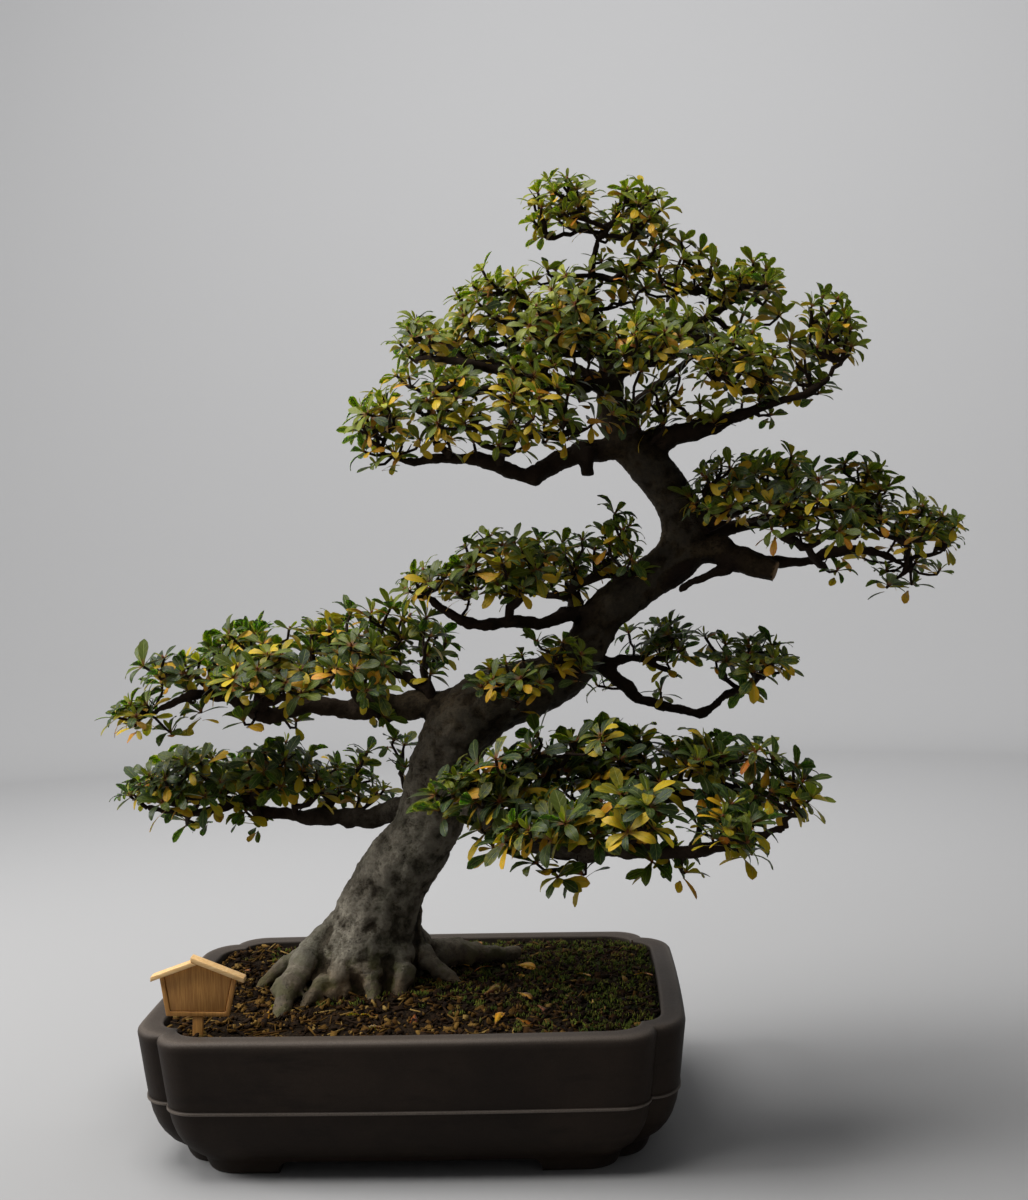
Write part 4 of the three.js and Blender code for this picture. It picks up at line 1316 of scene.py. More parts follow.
@dataclass
class Wood:
    """The trunk with its surface roots, limbs and pruned stubs, grown as one piece.

    Each relief is a name, a size, a height and the group of points that it moves.
    """

    frame: PotFrame
    seed: int = 7
    voxel: float = 2.5
    roundness: int = 4
    step: float = 6.0
    knuckle: float = 11.0
    crook: float = 0.14
    swell: float = 0.20
    flute_rise: float = 40.0
    flute_share: float = 0.5
    flute_sink: float = 6.0
    full_girth: float = 26.0
    root_girth: float = 19.0
    girth_points: int = 4
    girth_levels: int = 20
    girth_power: float = 1.5
    hollow_reach: int = 26
    hollow_depth: float = 1.6
    shade_side: Triple = (0.85, 0.1, -0.4)
    shade_from: float = -0.1
    shade_range: float = 0.8
    sawn_back: float = 0.25
    sawn_set: float = 0.2
    sawn_reach: float = 1.3
    sawn_face: float = 0.95
    reliefs: tuple[tuple[str, float, float, str], ...] = (
        ("muscle", 34.0, 7.0, "thick"),
        ("knots", 15.0, 2.8, "thick"),
        ("burrs", 10.0, 4.2, "all"),
        ("grain", 4.4, 1.3, "all"),
    )

    def build(self, bark: Material) -> None:
        """Builds the wood and puts it in place of the plain one."""
        rng = random.Random(self.seed)
        roots = [self._fluted(self._gnarled(rows, rng)) for rows in ROOTS]
        rows = [TRUNK, *roots, *[self._gnarled(rows, rng) for rows in LIMBS.values()]]
        wood = tubes("tree_wood", [self._placed(part) for part in rows], self.roundness)
        apply_modifier(wood, "REMESH", mode="VOXEL", voxel_size=self.voxel * MM, adaptivity=0.0)
        self._mark_girth(wood)
        apply_modifier(wood, "SMOOTH", factor=0.6, iterations=6, vertex_group="thick")
        apply_modifier(wood, "SMOOTH", factor=0.5, iterations=2)
        for relief in self.reliefs:
            add_relief(wood, *relief)
        self._mark_hollows(wood)
        self._mark_painted_shade(wood)
        self._saw_ends(wood)
        smooth(wood)
        wood.vertex_groups.clear()
        hand_over(wood, "tree_wood", bark, Slot.BARK, "trunk")

    def _gnarled(self, rows: Sequence[Row], rng: random.Random) -> list[Row]:
        """Adds knuckles between the ends of a limb or root.

        Args:
            rows: Its rows.
            rng: The draw that sets the knuckles off the line and makes them thicker or thinner.

        Returns:
            The rows with the knuckles.
        """
        gnarled = [rows[0]]
        for place, radius in smooth_path(rows, self.knuckle)[1:-1]:
            x, y, z = (value + rng.gauss(0.0, self.crook * radius) for value in place)
            gnarled.append((x, y, z, radius * rng.uniform(1 - self.swell, 1 + self.swell)))
        return [*gnarled, rows[-1]]

    def _fluted(self, rows: Sequence[Row]) -> list[Row]:
        """A root's rows with a flute that runs up the trunk from it."""
        x, y, z, radius = rows[0]
        trunk = smooth_path(TRUNK, self.step)
        centre, girth = min(trunk, key=lambda near: abs(near[0].z - z - self.flute_rise))
        foot, _ = min(trunk, key=lambda near: abs(near[0].z - z))
        out = (Vector((x, y)) - foot.xy).normalized() * (girth - self.flute_sink)
        return [(centre.x + out.x, centre.y + out.y, z + self.flute_rise, self.flute_share * radius), *rows]

    def _placed(self, rows: Sequence[Row]) -> list[Knot]:
        """A smooth path through rows, in the row frame's metres."""
        return [(self.frame.at(place), radius * MM) for place, radius in smooth_path(rows, self.step)]

    def skeleton(self, names: Iterable[str]) -> list[Knot]:
        """Points with a radius along the named limbs, in the tree's millimetres."""
        points = []
        for name in names:
            points.extend(smooth_path(TRUNK if name == "trunk" else LIMBS[name], self.step))
        return points

    def _mark_girth(self, wood: Object) -> None:
        """Keeps on each point how thick the wood is there, for the finish and the modifiers."""
        spine = [point for rows in (TRUNK, *LIMBS.values()) for point in self._placed(rows)]
        spine += [(place, self.root_girth * MM) for rows in ROOTS for place, _ in self._placed(rows)]
        tree = KDTree(len(spine))
        for i, (place, _) in enumerate(spine):
            tree.insert(place, i)
        tree.balance()
        places = points_of(wood.data)
        girths = np.empty(len(places), np.float32)
        for i, place in enumerate(places):
            near = tree.find_n(Vector(place), self.girth_points)
            girths[i] = sum(spine[index][1] for _, index, _ in near) / len(near)
        girths = np.clip(girths / (self.full_girth * MM), 0.0, 1.0)
        set_numbers(wood.data, "girth", girths)
        thick = wood.vertex_groups.new(name="thick")
        everywhere = wood.vertex_groups.new(name="all")
        everywhere.add(range(len(places)), 1.0, "REPLACE")
        levels = self.girth_levels
        for level in range(1, levels + 1):
            chosen = np.nonzero(np.round(girths * levels) == level)[0]
            thick.add(chosen.tolist(), (level / levels) ** self.girth_power, "REPLACE")

    def _mark_hollows(self, wood: Object) -> None:
        """Keeps on each point how deep it lies in a hollow of the bark, for the finish's painted shade in
        hollows and painted highlight on ridges.
        """
        mesh = wood.data
        places = points_of(mesh)
        ends = np.empty(len(mesh.edges) * 2, np.int32)
        mesh.edges.foreach_get("vertices", ends)
        start, end = ends[::2], ends[1::2]
        near = np.concatenate([end, start])
        own = np.concatenate([start, end])
        count = np.bincount(own)[:, None]
        eased = places.copy()
        for _ in range(self.hollow_reach):
            eased = np.stack([np.bincount(own, eased[near, axis]) for axis in range(3)], axis=1) / count
        depth = ((eased - places) * normals_of(mesh)).sum(axis=1) / (self.hollow_depth * MM)
        set_numbers(mesh, "hollow", np.clip(0.5 + 0.5 * depth, 0.0, 1.0))

    def _mark_painted_shade(self, wood: Object) -> None:
        """Keeps on each point how far it faces the side away from the sun, for the painted shade of the
        finish.
        """
        away = normals_of(wood.data) @ np.array(Vector(self.shade_side).normalized(), np.float32)
        set_numbers(wood.data, "damp", np.clip((away - self.shade_from) / self.shade_range, 0.0, 1.0))

    def _saw_ends(self, wood: Object) -> None:
        """Flattens the sawn ends of a limb and a root, and marks them for the finish."""
        places = points_of(wood.data)
        sawn = np.zeros(len(places))
        for rows in (LIMBS["right"], ROOTS[SAWN_ROOT]):
            end = np.array(self.frame.at(rows[-1]))
            before = np.array(self.frame.at(rows[-2]))
            axis = (end - before) / np.linalg.norm(end - before)
            radius = rows[-1][3] * MM
            along = (places - end) @ axis
            across = np.linalg.norm(places - end - np.outer(along, axis), axis=1)
            chosen = (along > -self.sawn_back * radius) & (along < radius)
            chosen &= across < self.sawn_reach * radius
            places[chosen] -= np.outer(along[chosen] + self.sawn_set * radius, axis)
            sawn[chosen & (across < self.sawn_face * radius)] = 1.0
        wood.data.vertices.foreach_set("co", places.ravel())
        wood.data.update()
        set_numbers(wood.data, "sawn", sawn)


# The foliage


@dataclass(frozen=True)
class LeafShape:
    """One shape of leaf: a thin closed blade, wider beyond its middle, with a tip that bends back.

    It is a grid wrapped round, whose columns are the left edge, the rib above, the right edge, the
    rib below and the left edge again, and whose rows are at the stations along it.
    """

    width: float
    recurve: float
    fold: float
    twist: float
    widest: float = 0.68
    stalk: float = 0.04
    rise_power: float = 1.75
    tip_round: float = 1.012
    tip_point: float = 0.035
    draw_in: float = 0.35
    droop: float = 0.55
    thickness: float = 0.5
    length: float = 30.0
    sides: tuple[int, ...] = (-1, 0, 1, 0, -1)
    rib_below: int = 3
    stations: tuple[float, ...] = (0.0, 0.22, 0.46, 0.70, 0.90, 1.0)

    def half_width(self, reach: float) -> float:
        """Half the blade's width, as a share of its length, at a share of the way to its tip."""
        if reach >= self.widest:
            fall = (reach - self.widest) / (self.tip_round - self.widest)
            return self.width / 2 * math.sqrt(1 - fall * fall)
        rise = (reach / self.widest) ** self.rise_power
        return self.stalk * (1 - rise) + self.width / 2 * math.sin(rise * math.pi / 2)

    def model(self, name: str) -> Pattern:
        """Models the leaf from a grid that is wrapped round it.

        Args:
            name: The name of the object while it is modelled.

        Returns:
            The leaf as a pattern, from its foot at the origin along +Y, with its upper face to +Z.
        """
        deselect_all()
        rows = len(self.stations) - 1
        columns = len(self.sides) - 1
        bpy.ops.mesh.primitive_grid_add(x_subdivisions=columns, y_subdivisions=rows, size=2.0, calc_uvs=True)
        leaf = bpy.context.object
        leaf.name = name
        for vertex in leaf.data.vertices:
            column = round((vertex.co.x + 1) / 2 * columns)
            row = round((vertex.co.y + 1) / 2 * rows)
            vertex.co = self._point(column, self.stations[row])
        with editing(leaf):
            bpy.ops.mesh.remove_doubles(threshold=WELD)
            bpy.ops.mesh.fill_holes(sides=4)
            bpy.ops.mesh.normals_make_consistent(inside=False)
        return Pattern.of(leaf)

    def _point(self, column: int, reach: float) -> Vector:
        """A point of the leaf.

        Args:
            column: The column of the grid.
            reach: The share of the way to its tip.

        Returns:
            The point in metres.
        """
        side = self.sides[column]
        length = self.length * MM
        half = self.half_width(reach) * length
        bend = self.recurve * reach * reach
        turn = self.twist * reach
        forward = self.tip_point * reach**4 * (1 - abs(side))
        cup = abs(side) * half * self.fold
        under = self.thickness * MM if column == self.rib_below else 0.0
        return Vector(
            (
                side * half * math.cos(turn),
                length * reach * (1 - self.draw_in * bend * bend) + length * forward,
                cup + side * half * math.sin(turn) - self.droop * length * bend * reach - under,
            )
        )


class LeafKind(Enum):
    """The leaf shapes that the whorls draw from."""

    PLAIN = LeafShape(width=0.40, recurve=0.35, fold=0.12, twist=0.0)
    BENT = LeafShape(width=0.36, recurve=0.70, fold=0.16, twist=0.22)
    BROAD = LeafShape(width=0.46, recurve=0.18, fold=0.08, twist=-0.18)
    YOUNG = LeafShape(width=0.32, recurve=0.10, fold=0.30, twist=0.1)
    OLD = LeafShape(width=0.42, recurve=0.45, fold=-0.08, twist=-0.40)


@dataclass(frozen=True)
class Pad:
    """One leafy layer, with the twig ends that the photograph shows.

    Its middle and half its depth are along Y. Green and yellow are the tone of its leaves and the
    share of its whorls that turn.
    """

    name: str
    layer: str
    sprays: Sequence[int]
    limbs: tuple[str, ...]
    middle: float
    half_depth: float
    leaf_length: float
    green: float
    yellow: float
    tips: tuple[Pixel, ...]

    @property
    def nodes(self) -> tuple[str, ...]:
        """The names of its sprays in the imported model."""
        return tuple(f"spray_{self.layer}_{number}" for number in self.sprays)


PADS: tuple[Pad, ...] = (
    Pad("upper_left", "upper_left", range(1, 8), ("left_upper",), -15, 85, 23, 0.42, 0.42, (
        (162, 684), (188, 691), (183, 673), (230, 635), (251, 640), (263, 644), (227, 661), (289, 630),
        (270, 661), (329, 630), (350, 616), (371, 614), (390, 609), (426, 618), (430, 637), (343, 642),
        (383, 665), (426, 656), (430, 675), (301, 670), (242, 670), (232, 677), (275, 715), (296, 722),
        (244, 722), (201, 713), (135, 727), (124, 713), (171, 732), (383, 717),
    )),
    Pad("lower_left", "lower_left", range(1, 6), ("left_lower",), 58, 60, 24, 0.43, 0.36, (
        (164, 765), (142, 783), (131, 798), (187, 760), (213, 760), (251, 765), (239, 774), (218, 779),
        (270, 774), (289, 769), (308, 755), (286, 743), (319, 776), (336, 769), (360, 765), (367, 753),
        (393, 741), (404, 746), (404, 769), (383, 791), (213, 802), (242, 798), (246, 812), (256, 824),
        (206, 821), (187, 821), (178, 805),
    )),
    Pad("middle_left", "middle_left", range(1, 5), ("middle_left",), -30, 50, 21, 0.37, 0.40, (
        (426, 590), (453, 579), (469, 601), (494, 552), (515, 544), (500, 571), (519, 574), (544, 555),
        (565, 555), (582, 541), (609, 544), (623, 530), (576, 569), (631, 560),
    )),
    Pad("trunk_front", "trunk_front", (1, 2), ("trunk",), -66, 15, 20, 0.40, 0.36, (
        (491, 670), (522, 656), (537, 643), (563, 643), (554, 656), (582, 673), (524, 689), (519, 703),
    )),
    Pad("middle_right", "middle_right", (1, 2),
        ("middle_right", "middle_right_upper"), 10, 40, 23, 0.48, 0.20, (
        (629, 634), (683, 643), (705, 637), (725, 645), (716, 662), (642, 656), (667, 664), (661, 692),
        (768, 670), (744, 686), (598, 686),
    )),
    Pad("right", "right", range(1, 6),
        ("right", "right_spur", "right_far", "right_back"), 5, 65, 21, 0.38, 0.42, (
        (711, 471), (690, 498), (709, 510), (726, 498), (755, 474), (791, 457), (811, 474), (845, 464),
        (760, 496), (794, 488), (767, 515), (804, 503), (879, 505), (845, 522), (910, 515), (854, 503),
        (934, 534), (949, 544), (842, 551), (913, 534), (915, 563), (886, 571), (939, 571), (837, 571),
        (888, 585), (912, 585), (864, 554),
    )),
    Pad("front_lower", "front_lower", range(1, 9),
        ("front_lower", "front_back"), -105, 60, 27, 0.47, 0.34, (
        (458, 780), (496, 760), (489, 788), (481, 829), (494, 849), (532, 750), (575, 742), (601, 737),
        (619, 760), (639, 739), (550, 801), (527, 788), (601, 803), (593, 834), (606, 819), (573, 836),
        (660, 783), (698, 762), (703, 793), (711, 808), (698, 826), (721, 757), (744, 755), (756, 752),
        (772, 760), (779, 778), (795, 768), (802, 783), (795, 803), (736, 834), (746, 854), (672, 852),
        (652, 862), (558, 877), (537, 864), (583, 875), (685, 873),
    )),
    Pad("crown_top", "crown", (1, 2), ("trunk",), 0, 36, 19, 0.22, 0.42, (
        (576, 199), (586, 198), (621, 199), (638, 221), (649, 217), (543, 236), (560, 222), (593, 231),
        (636, 236), (616, 213),
    )),
    Pad("crown_upper", "crown", (3, 4, 5, 15, 16),
        ("trunk", "crown_upper_right", "crown_back"), 4, 92, 20, 0.24, 0.42, (
        (498, 291), (521, 289), (480, 295), (547, 270), (572, 284), (618, 275), (654, 261), (684, 261),
        (645, 289), (668, 295), (694, 279), (515, 305), (540, 312), (560, 300), (590, 310), (620, 300),
        (665, 325), (640, 330), (690, 330), (705, 316), (725, 290), (535, 281), (556, 272), (567, 277),
        (590, 272), (602, 284), (585, 297), (552, 291), (576, 300), (602, 262),
    )),
    Pad("crown_left", "crown", (8, 17),
        ("trunk", "crown_middle_left", "crown_back"), 0, 80, 20, 0.26, 0.42, (
        (420, 334), (446, 334), (465, 330), (537, 341), (547, 344), (590, 337), (501, 362), (514, 360),
        (487, 357), (409, 357), (400, 344), (415, 338), (447, 338), (430, 350), (460, 352), (575, 350),
        (520, 336),
    )),
    Pad("crown_low_left", "crown", (9, 10, 11),
        ("crown_lower_left", "crown_middle_left"), -55, 50, 20, 0.30, 0.42, (
        (397, 376), (409, 378), (381, 408), (420, 412), (475, 390), (498, 387), (544, 426), (572, 380),
        (627, 415), (374, 429), (361, 431), (365, 452), (377, 465), (395, 454), (441, 422), (512, 424),
        (528, 435), (560, 429), (595, 422), (385, 405), (412, 408), (440, 405), (430, 430), (425, 395),
        (460, 385), (495, 396), (580, 402), (612, 415), (604, 395), (625, 400), (640, 372), (604, 372),
        (590, 350), (640, 415), (560, 395), (470, 425), (420, 442), (448, 440), (474, 444), (498, 446),
        (522, 448), (546, 442), (568, 440), (402, 446), (436, 430), (508, 436),
    )),
    Pad("crown_right", "crown", (6, 7, 12, 13, 14),
        ("crown_right", "crown_upper_right", "crown_back_right"), 0, 80, 20, 0.28, 0.38, (
        (724, 297), (743, 314), (779, 316), (811, 307), (847, 319), (830, 321), (804, 355), (743, 341),
        (726, 360), (714, 365), (728, 384), (651, 391), (680, 377), (668, 394), (652, 406), (671, 399),
        (770, 416), (714, 423), (818, 394), (774, 358), (655, 345), (670, 360), (690, 350), (715, 336),
        (740, 330), (750, 360), (770, 375), (775, 395), (760, 380), (665, 405), (700, 405), (843, 325),
        (790, 340), (640, 428), (690, 420), (716, 412), (742, 404), (664, 424), (760, 398),
    )),
)


@dataclass
class Twig:
    """A point of the growing twigs: its parent's number, the widest radius it may have, and its tips."""

    place: Vector
    parent: int
    limit: float
    tips: int = 0


@dataclass(frozen=True)
class Hub:
    """The end of a twig, where a whorl grows, with its direction and the length of a whole leaf."""

    place: Vector
    axis: Vector
    size: float = 0.0


@dataclass(frozen=True)
class Whorl:
    """How the leaves of a whorl are drawn.

    Lengths are shares of the pad's leaf length, tilts are degrees from the twig, and tones lie along
    the ages of the leaves' finish.
    """

    size: Span = (0.85, 1.1)
    tone_spread: float = 0.06
    turning: float = 0.5
    ring: tuple[int, int] = (5, 7)
    ring_kinds: tuple[LeafKind, ...] = (LeafKind.PLAIN, LeafKind.BENT, LeafKind.BROAD, LeafKind.BENT)
    ring_jitter: float = 0.16
    ring_tilt: Span = (36.0, 88.0)
    ring_length: Span = (0.80, 1.08)
    ring_tones: Span = (0.02, 0.56)
    ring_tone_spread: float = 0.07
    turned: float = 0.35
    turned_tones: Span = (0.60, 0.72)
    old: tuple[int, int] = (2, 3)
    old_yellow: float = 2.0
    old_tones: Triple = (0.60, 0.90, 0.74)
    old_green: Span = (0.38, 0.57)
    old_drop: Span = (2.0, 8.0)
    old_length: Span = (0.8, 1.05)
    old_tilt: Span = (72.0, 116.0)
    young: tuple[int, int] = (1, 2)
    young_tones: Span = (0.04, 0.20)
    young_tilt: Span = (8.0, 28.0)
    young_length: float = 0.5
    bud_tone: float = 0.95
    foot: float = 0.8
    face_spread: float = 0.25
    shrink: Triple = (1.0, 0.82, 0.64)


@dataclass(frozen=True)
class Room:
    """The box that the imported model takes, which the leaves stay inside."""

    low: Vector
    high: Vector
    margin: float = 0.0015

    def holds(self, points: np.ndarray) -> bool:
        """Whether all points are inside the box."""
        low = np.array(self.low) + self.margin
        high = np.array(self.high) - self.margin
        return bool((points > low).all() and (points < high).all())

    def pull_in(self, point: Vector, depth: float) -> Vector:
        """The point, moved to at least a depth inside the box."""
        return Vector(min(max(v, a + depth), b - depth) for a, v, b in zip(self.low, point, self.high))


@dataclass
class Foliage:
    """The twigs and whorls of one pad, in the tree's millimetres until they are built."""

    frame: PotFrame
    view: View
    wood: Wood
    room: Room
    pad: Pad
    leaves: dict[LeafKind, Pattern]
    bud: Pattern
    rng: random.Random
    whorl: Whorl = Whorl()
    depth_spread: float = 0.28
    spacing: float = 17.0
    tries: int = 420
    edge: float = 9.0
    box_inset: float = 10.0
    box_foot: float = 8.0
    box_top: float = 12.0
    dome_drop: float = 0.75
    levels: tuple[float, ...] = (1.0, 1.0, 1.0, 0.9, 0.75, 0.5)
    lean: float = 0.6
    lean_reach: float = 90.0
    rise: float = 0.85
    axis_spread: Triple = (0.22, 0.22, 0.1)
    limb_share: float = 0.75
    fall_cost: float = 1.6
    limb_cost: float = 9.0
    twig_step: float = 8.0
    start_rise: float = 0.4
    pull: float = 0.9
    wobble: float = 1.3
    tip_radius: float = 1.35
    fork_power: float = 0.45
    twig_girth: float = 0.12
    spur_share: float = 0.7
    spur_rise: float = 1.4
    spur_length: Span = (7.0, 16.0)
    spur_bend: float = 0.25
    spur_radius: float = 0.8
    spur_taper: tuple[Span, ...] = ((0.0, 1.0), (0.5, 0.8), (1.0, 0.5))
    sharp_angle: float = 50.0
    twigs: list[Twig] = field(default_factory=list)
    paths: list[list[int]] = field(default_factory=list)
    copies: Copies = field(default_factory=Copies)

    def build(self, skin: Material, bark: Material) -> None:
        """Builds the pad's twigs and leaves and puts them in place of its plain sprays.

        Args:
            skin: The leaves' finish.
            bark: The twigs' finish.
        """
        hubs = self._hubs()
        self._grow(hubs)
        for hub in hubs:
            size = self.pad.leaf_length * self.rng.uniform(*self.whorl.size)
            self._add_whorl(Hub(self.frame.at(hub.place), hub.axis, size))
        leaves = self.copies.build("leaves", self.sharp_angle)
        hand_over(leaves, "leaves_" + self.pad.name, skin, Slot.FOLIAGE, *self.pad.nodes)
        hand_over(self._tube_mesh(), "twigs_" + self.pad.name, bark, Slot.BARK, *self.pad.nodes)
        LOG.info("pad %s: %d whorls", self.pad.name, len(hubs))

    def _hubs(self) -> list[Hub]:
        """The ends of the twigs: those that the photograph shows, and more over the plain sprays."""
        centre = self._centre()
        places: list[Vector] = []
        for pixel in self.pad.tips:
            slide = self.rng.gauss(0.0, self.depth_spread) * self.pad.half_depth
            places.append(self._inside(self.view.lift(pixel, self.pad.middle + slide)))
        for node in self.pad.nodes:
            self._fill_box(node, places)
        return [Hub(place, self._axis(place, centre)) for place in places]

    def _inside(self, place: Vector) -> Vector:
        """The place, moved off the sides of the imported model's box."""
        pulled = self.room.pull_in(self.frame.at(place), self.edge * MM)
        return (pulled - self.frame.origin) / MM

    def _centre(self) -> Vector:
        """The middle of the pad's underside."""
        boxes = [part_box(node) for node in self.pad.nodes]
        low = Vector(min(box[0][i] for box in boxes) for i in range(3))
        high = Vector(max(box[1][i] for box in boxes) for i in range(3))
        middle = (low + high) / 2
        middle.z = low.z
        return (middle - self.frame.origin) / MM

    def _fill_box(self, node: str, places: list[Vector]) -> None:
        """Adds twig ends to the places, under a dome over a spray's box, where there are none yet."""
        low, high = ((corner - self.frame.origin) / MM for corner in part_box(node))
        middle = (low + high) / 2
        half = (high - low) / 2 - Vector((self.box_inset, self.box_inset, 0.0))
        foot = low.z + self.box_foot
        height = high.z - low.z - self.box_foot - self.box_top
        for _ in range(self.tries):
            u, v = self.rng.uniform(-1, 1), self.rng.uniform(-1, 1)
            away = u * u + v * v
            if away > 1:
                continue
            dome = math.sqrt(1 - self.dome_drop * away) * self.rng.choice(self.levels)
            place = Vector((middle.x + u * half.x, middle.y + v * half.y, foot + height * dome))
            place = self._inside(place)
            if all((place - other).length > self.spacing for other in places):
                places.append(place)

    def _axis(self, place: Vector, centre: Vector) -> Vector:
        """The direction of a twig's end: up, leaning out from the middle of the pad."""
        out = place - centre
        out.z = 0.0
        lean = min(1.0, out.length / self.lean_reach) * self.lean
        out = out.normalized() * lean if out.length > 1.0 else Vector()
        jitter = Vector([self.rng.gauss(0, spread) for spread in self.axis_spread])
        return (out + Vector((0.0, 0.0, self.rise)) + jitter).normalized()

    def _grow(self, hubs: Sequence[Hub]) -> None:
        """Grows twigs from the limbs to all hubs, the nearest first."""
        limbs = self.wood.skeleton(self.pad.limbs)
        twigs = self.twigs = [Twig(place, -1, self.limb_share * radius) for place, radius in limbs]
        spine = len(twigs)
        order = sorted(hubs, key=lambda hub: min((hub.place - twig.place).length for twig in twigs[:spine]))
        for hub in order:
            open_twigs = [i for i, twig in enumerate(twigs) if twig.limit > 0]
            start = min(open_twigs, key=lambda i: self._cost(twigs[i], hub.place, i < spine))
            self.paths.append(self._reach(start, hub))
        for path in self.paths:
            index = path[-1]
            while index >= 0:
                twigs[index].tips += 1
                index = twigs[index].parent

    def _cost(self, twig: Twig, place: Vector, on_limb: bool) -> float:
        """How unwilling a twig is to start from a point: far, from above, or straight on a limb."""
        away = place - twig.place
        return away.length + self.fall_cost * max(0.0, -away.z) + (self.limb_cost if on_limb else 0.0)

    def _reach(self, start: int, hub: Hub) -> list[int]:
        """Adds the points of a twig that leaves level and arrives along its end's axis.

        Args:
            start: The number of the point that it starts from.
            hub: Its end.

        Returns:
            The numbers of its points, from the start.
        """
        twigs = self.twigs
        origin = twigs[start].place
        away = hub.place - origin
        length = away.length
        level = Vector((away.x, away.y, away.z * self.start_rise))
        out = (level.normalized() if level.length > 1.0 else hub.axis) * length * self.pull
        inwards = hub.axis * length * self.pull
        count = max(2, round(length / self.twig_step))
        path = [start]
        for i in range(1, count + 1):
            t = i / count
            point = (
                origin * (2 * t**3 - 3 * t**2 + 1)
                + out * (t**3 - 2 * t**2 + t)
                + hub.place * (3 * t**2 - 2 * t**3)
                + inwards * (t**3 - t**2)
            )
            if i < count:
                point = self._inside(point + Vector([self.rng.gauss(0, self.wobble) for _ in range(3)]))
            near_end = i > count - 2
            twigs.append(Twig(point, path[-1], 0.0 if near_end else twigs[start].limit))
            path.append(len(twigs) - 1)
        return path

    def _radius(self, twig: Twig) -> float:
        """A twig's radius from how many tips it carries."""
        grown = self.tip_radius * max(1, twig.tips) ** self.fork_power
        return min(grown, twig.limit) if twig.limit > 0 else grown

    def _tube_mesh(self) -> Object:
        """The twigs and their spurs as tubes, with their girth kept for the finish."""
        twigs = self.twigs
        paths = []
        for path in self.paths:
            first = self._radius(twigs[path[1]])
            points = [(self.frame.at(twigs[path[0]].place), first * MM)]
            points += [(self.frame.at(twigs[i].place), self._radius(twigs[i]) * MM) for i in path[1:]]
            paths.append(points)
            if self.rng.random() < self.spur_share and len(path) > 3:
                paths.append(self._spur(twigs[self.rng.choice(path[1:-1])]))
        mesh = tubes("twigs", paths, 1)
        smooth(mesh)
        set_numbers(mesh.data, "girth", np.full(len(mesh.data.vertices), self.twig_girth))
        return mesh

    def _spur(self, twig: Twig) -> list[Knot]:
        """A short bare spur that grows from a twig."""
        around = self.rng.uniform(0, math.tau)
        rise = self.rng.uniform(0.0, self.spur_rise)
        out = Vector((math.cos(around), math.sin(around), rise)).normalized()
        length = self.rng.uniform(*self.spur_length)
        bend = Vector((0.0, 0.0, self.spur_bend * length))
        spur = []
        for share, thin in self.spur_taper:
            place = self._inside(twig.place + out * length * share + bend * share**2)
            spur.append((self.frame.at(place), self.spur_radius * thin * MM))
        return spur

    def _add_whorl(self, hub: Hub) -> None:
        """Adds the leaves at the end of a twig: a ring, older leaves under it, young ones and a bud."""
        self._add_ring(hub)
        self._add_old(hub)
        self._add_young(hub)
        base = Matrix.Translation(hub.place) @ hub.axis.to_track_quat("Y", "Z").to_matrix().to_4x4()
        self.copies.add(self.bud, base, self.whorl.bud_tone)

    def _add_ring(self, hub: Hub) -> None:
        """Adds the whorl's ring of grown leaves, some of which turn yellow."""
        rule, rng = self.whorl, self.rng
        green = rng.gauss(self.pad.green, rule.tone_spread)
        turning = rng.random() < rule.turning * self.pad.yellow
        count = rng.randint(*rule.ring)
        turn = rng.uniform(0, math.tau)
        least, most = rule.ring_tones
        for i in range(count):
            around = turn + math.tau * i / count + rng.gauss(0, rule.ring_jitter)
            tilt = rng.uniform(*rule.ring_tilt)
            kind = rng.choice(rule.ring_kinds)
            tone = min(most, max(least, rng.gauss(green, rule.ring_tone_spread)))
            if turning and rng.random() < rule.turned:
                tone = rng.uniform(*rule.turned_tones)
            length = hub.size * rng.uniform(*rule.ring_length)
            self._add_leaf(kind, hub, around, tilt, length, tone)

    def _add_old(self, hub: Hub) -> None:
        """Adds the older leaves that hang a little under the ring."""
        rule, rng = self.whorl, self.rng
        for _ in range(rng.randint(*rule.old)):
            yellow = rng.random() < rule.old_yellow * self.pad.yellow
            tone = rng.triangular(*rule.old_tones) if yellow else rng.uniform(*rule.old_green)
            low = Hub(hub.place - hub.axis * rng.uniform(*rule.old_drop) * MM, hub.axis)
            length = hub.size * rng.uniform(*rule.old_length)
            around = rng.uniform(0, math.tau)
            tilt = rng.uniform(*rule.old_tilt)
            self._add_leaf(LeafKind.OLD, low, around, tilt, length, tone)

    def _add_young(self, hub: Hub) -> None:
        """Adds the small upright leaves round the bud."""
        rule, rng = self.whorl, self.rng
        for _ in range(rng.randint(*rule.young)):
            around = rng.uniform(0, math.tau)
            tone = rng.uniform(*rule.young_tones)
            tilt = rng.uniform(*rule.young_tilt)
            self._add_leaf(LeafKind.YOUNG, hub, around, tilt, rule.young_length * hub.size, tone)

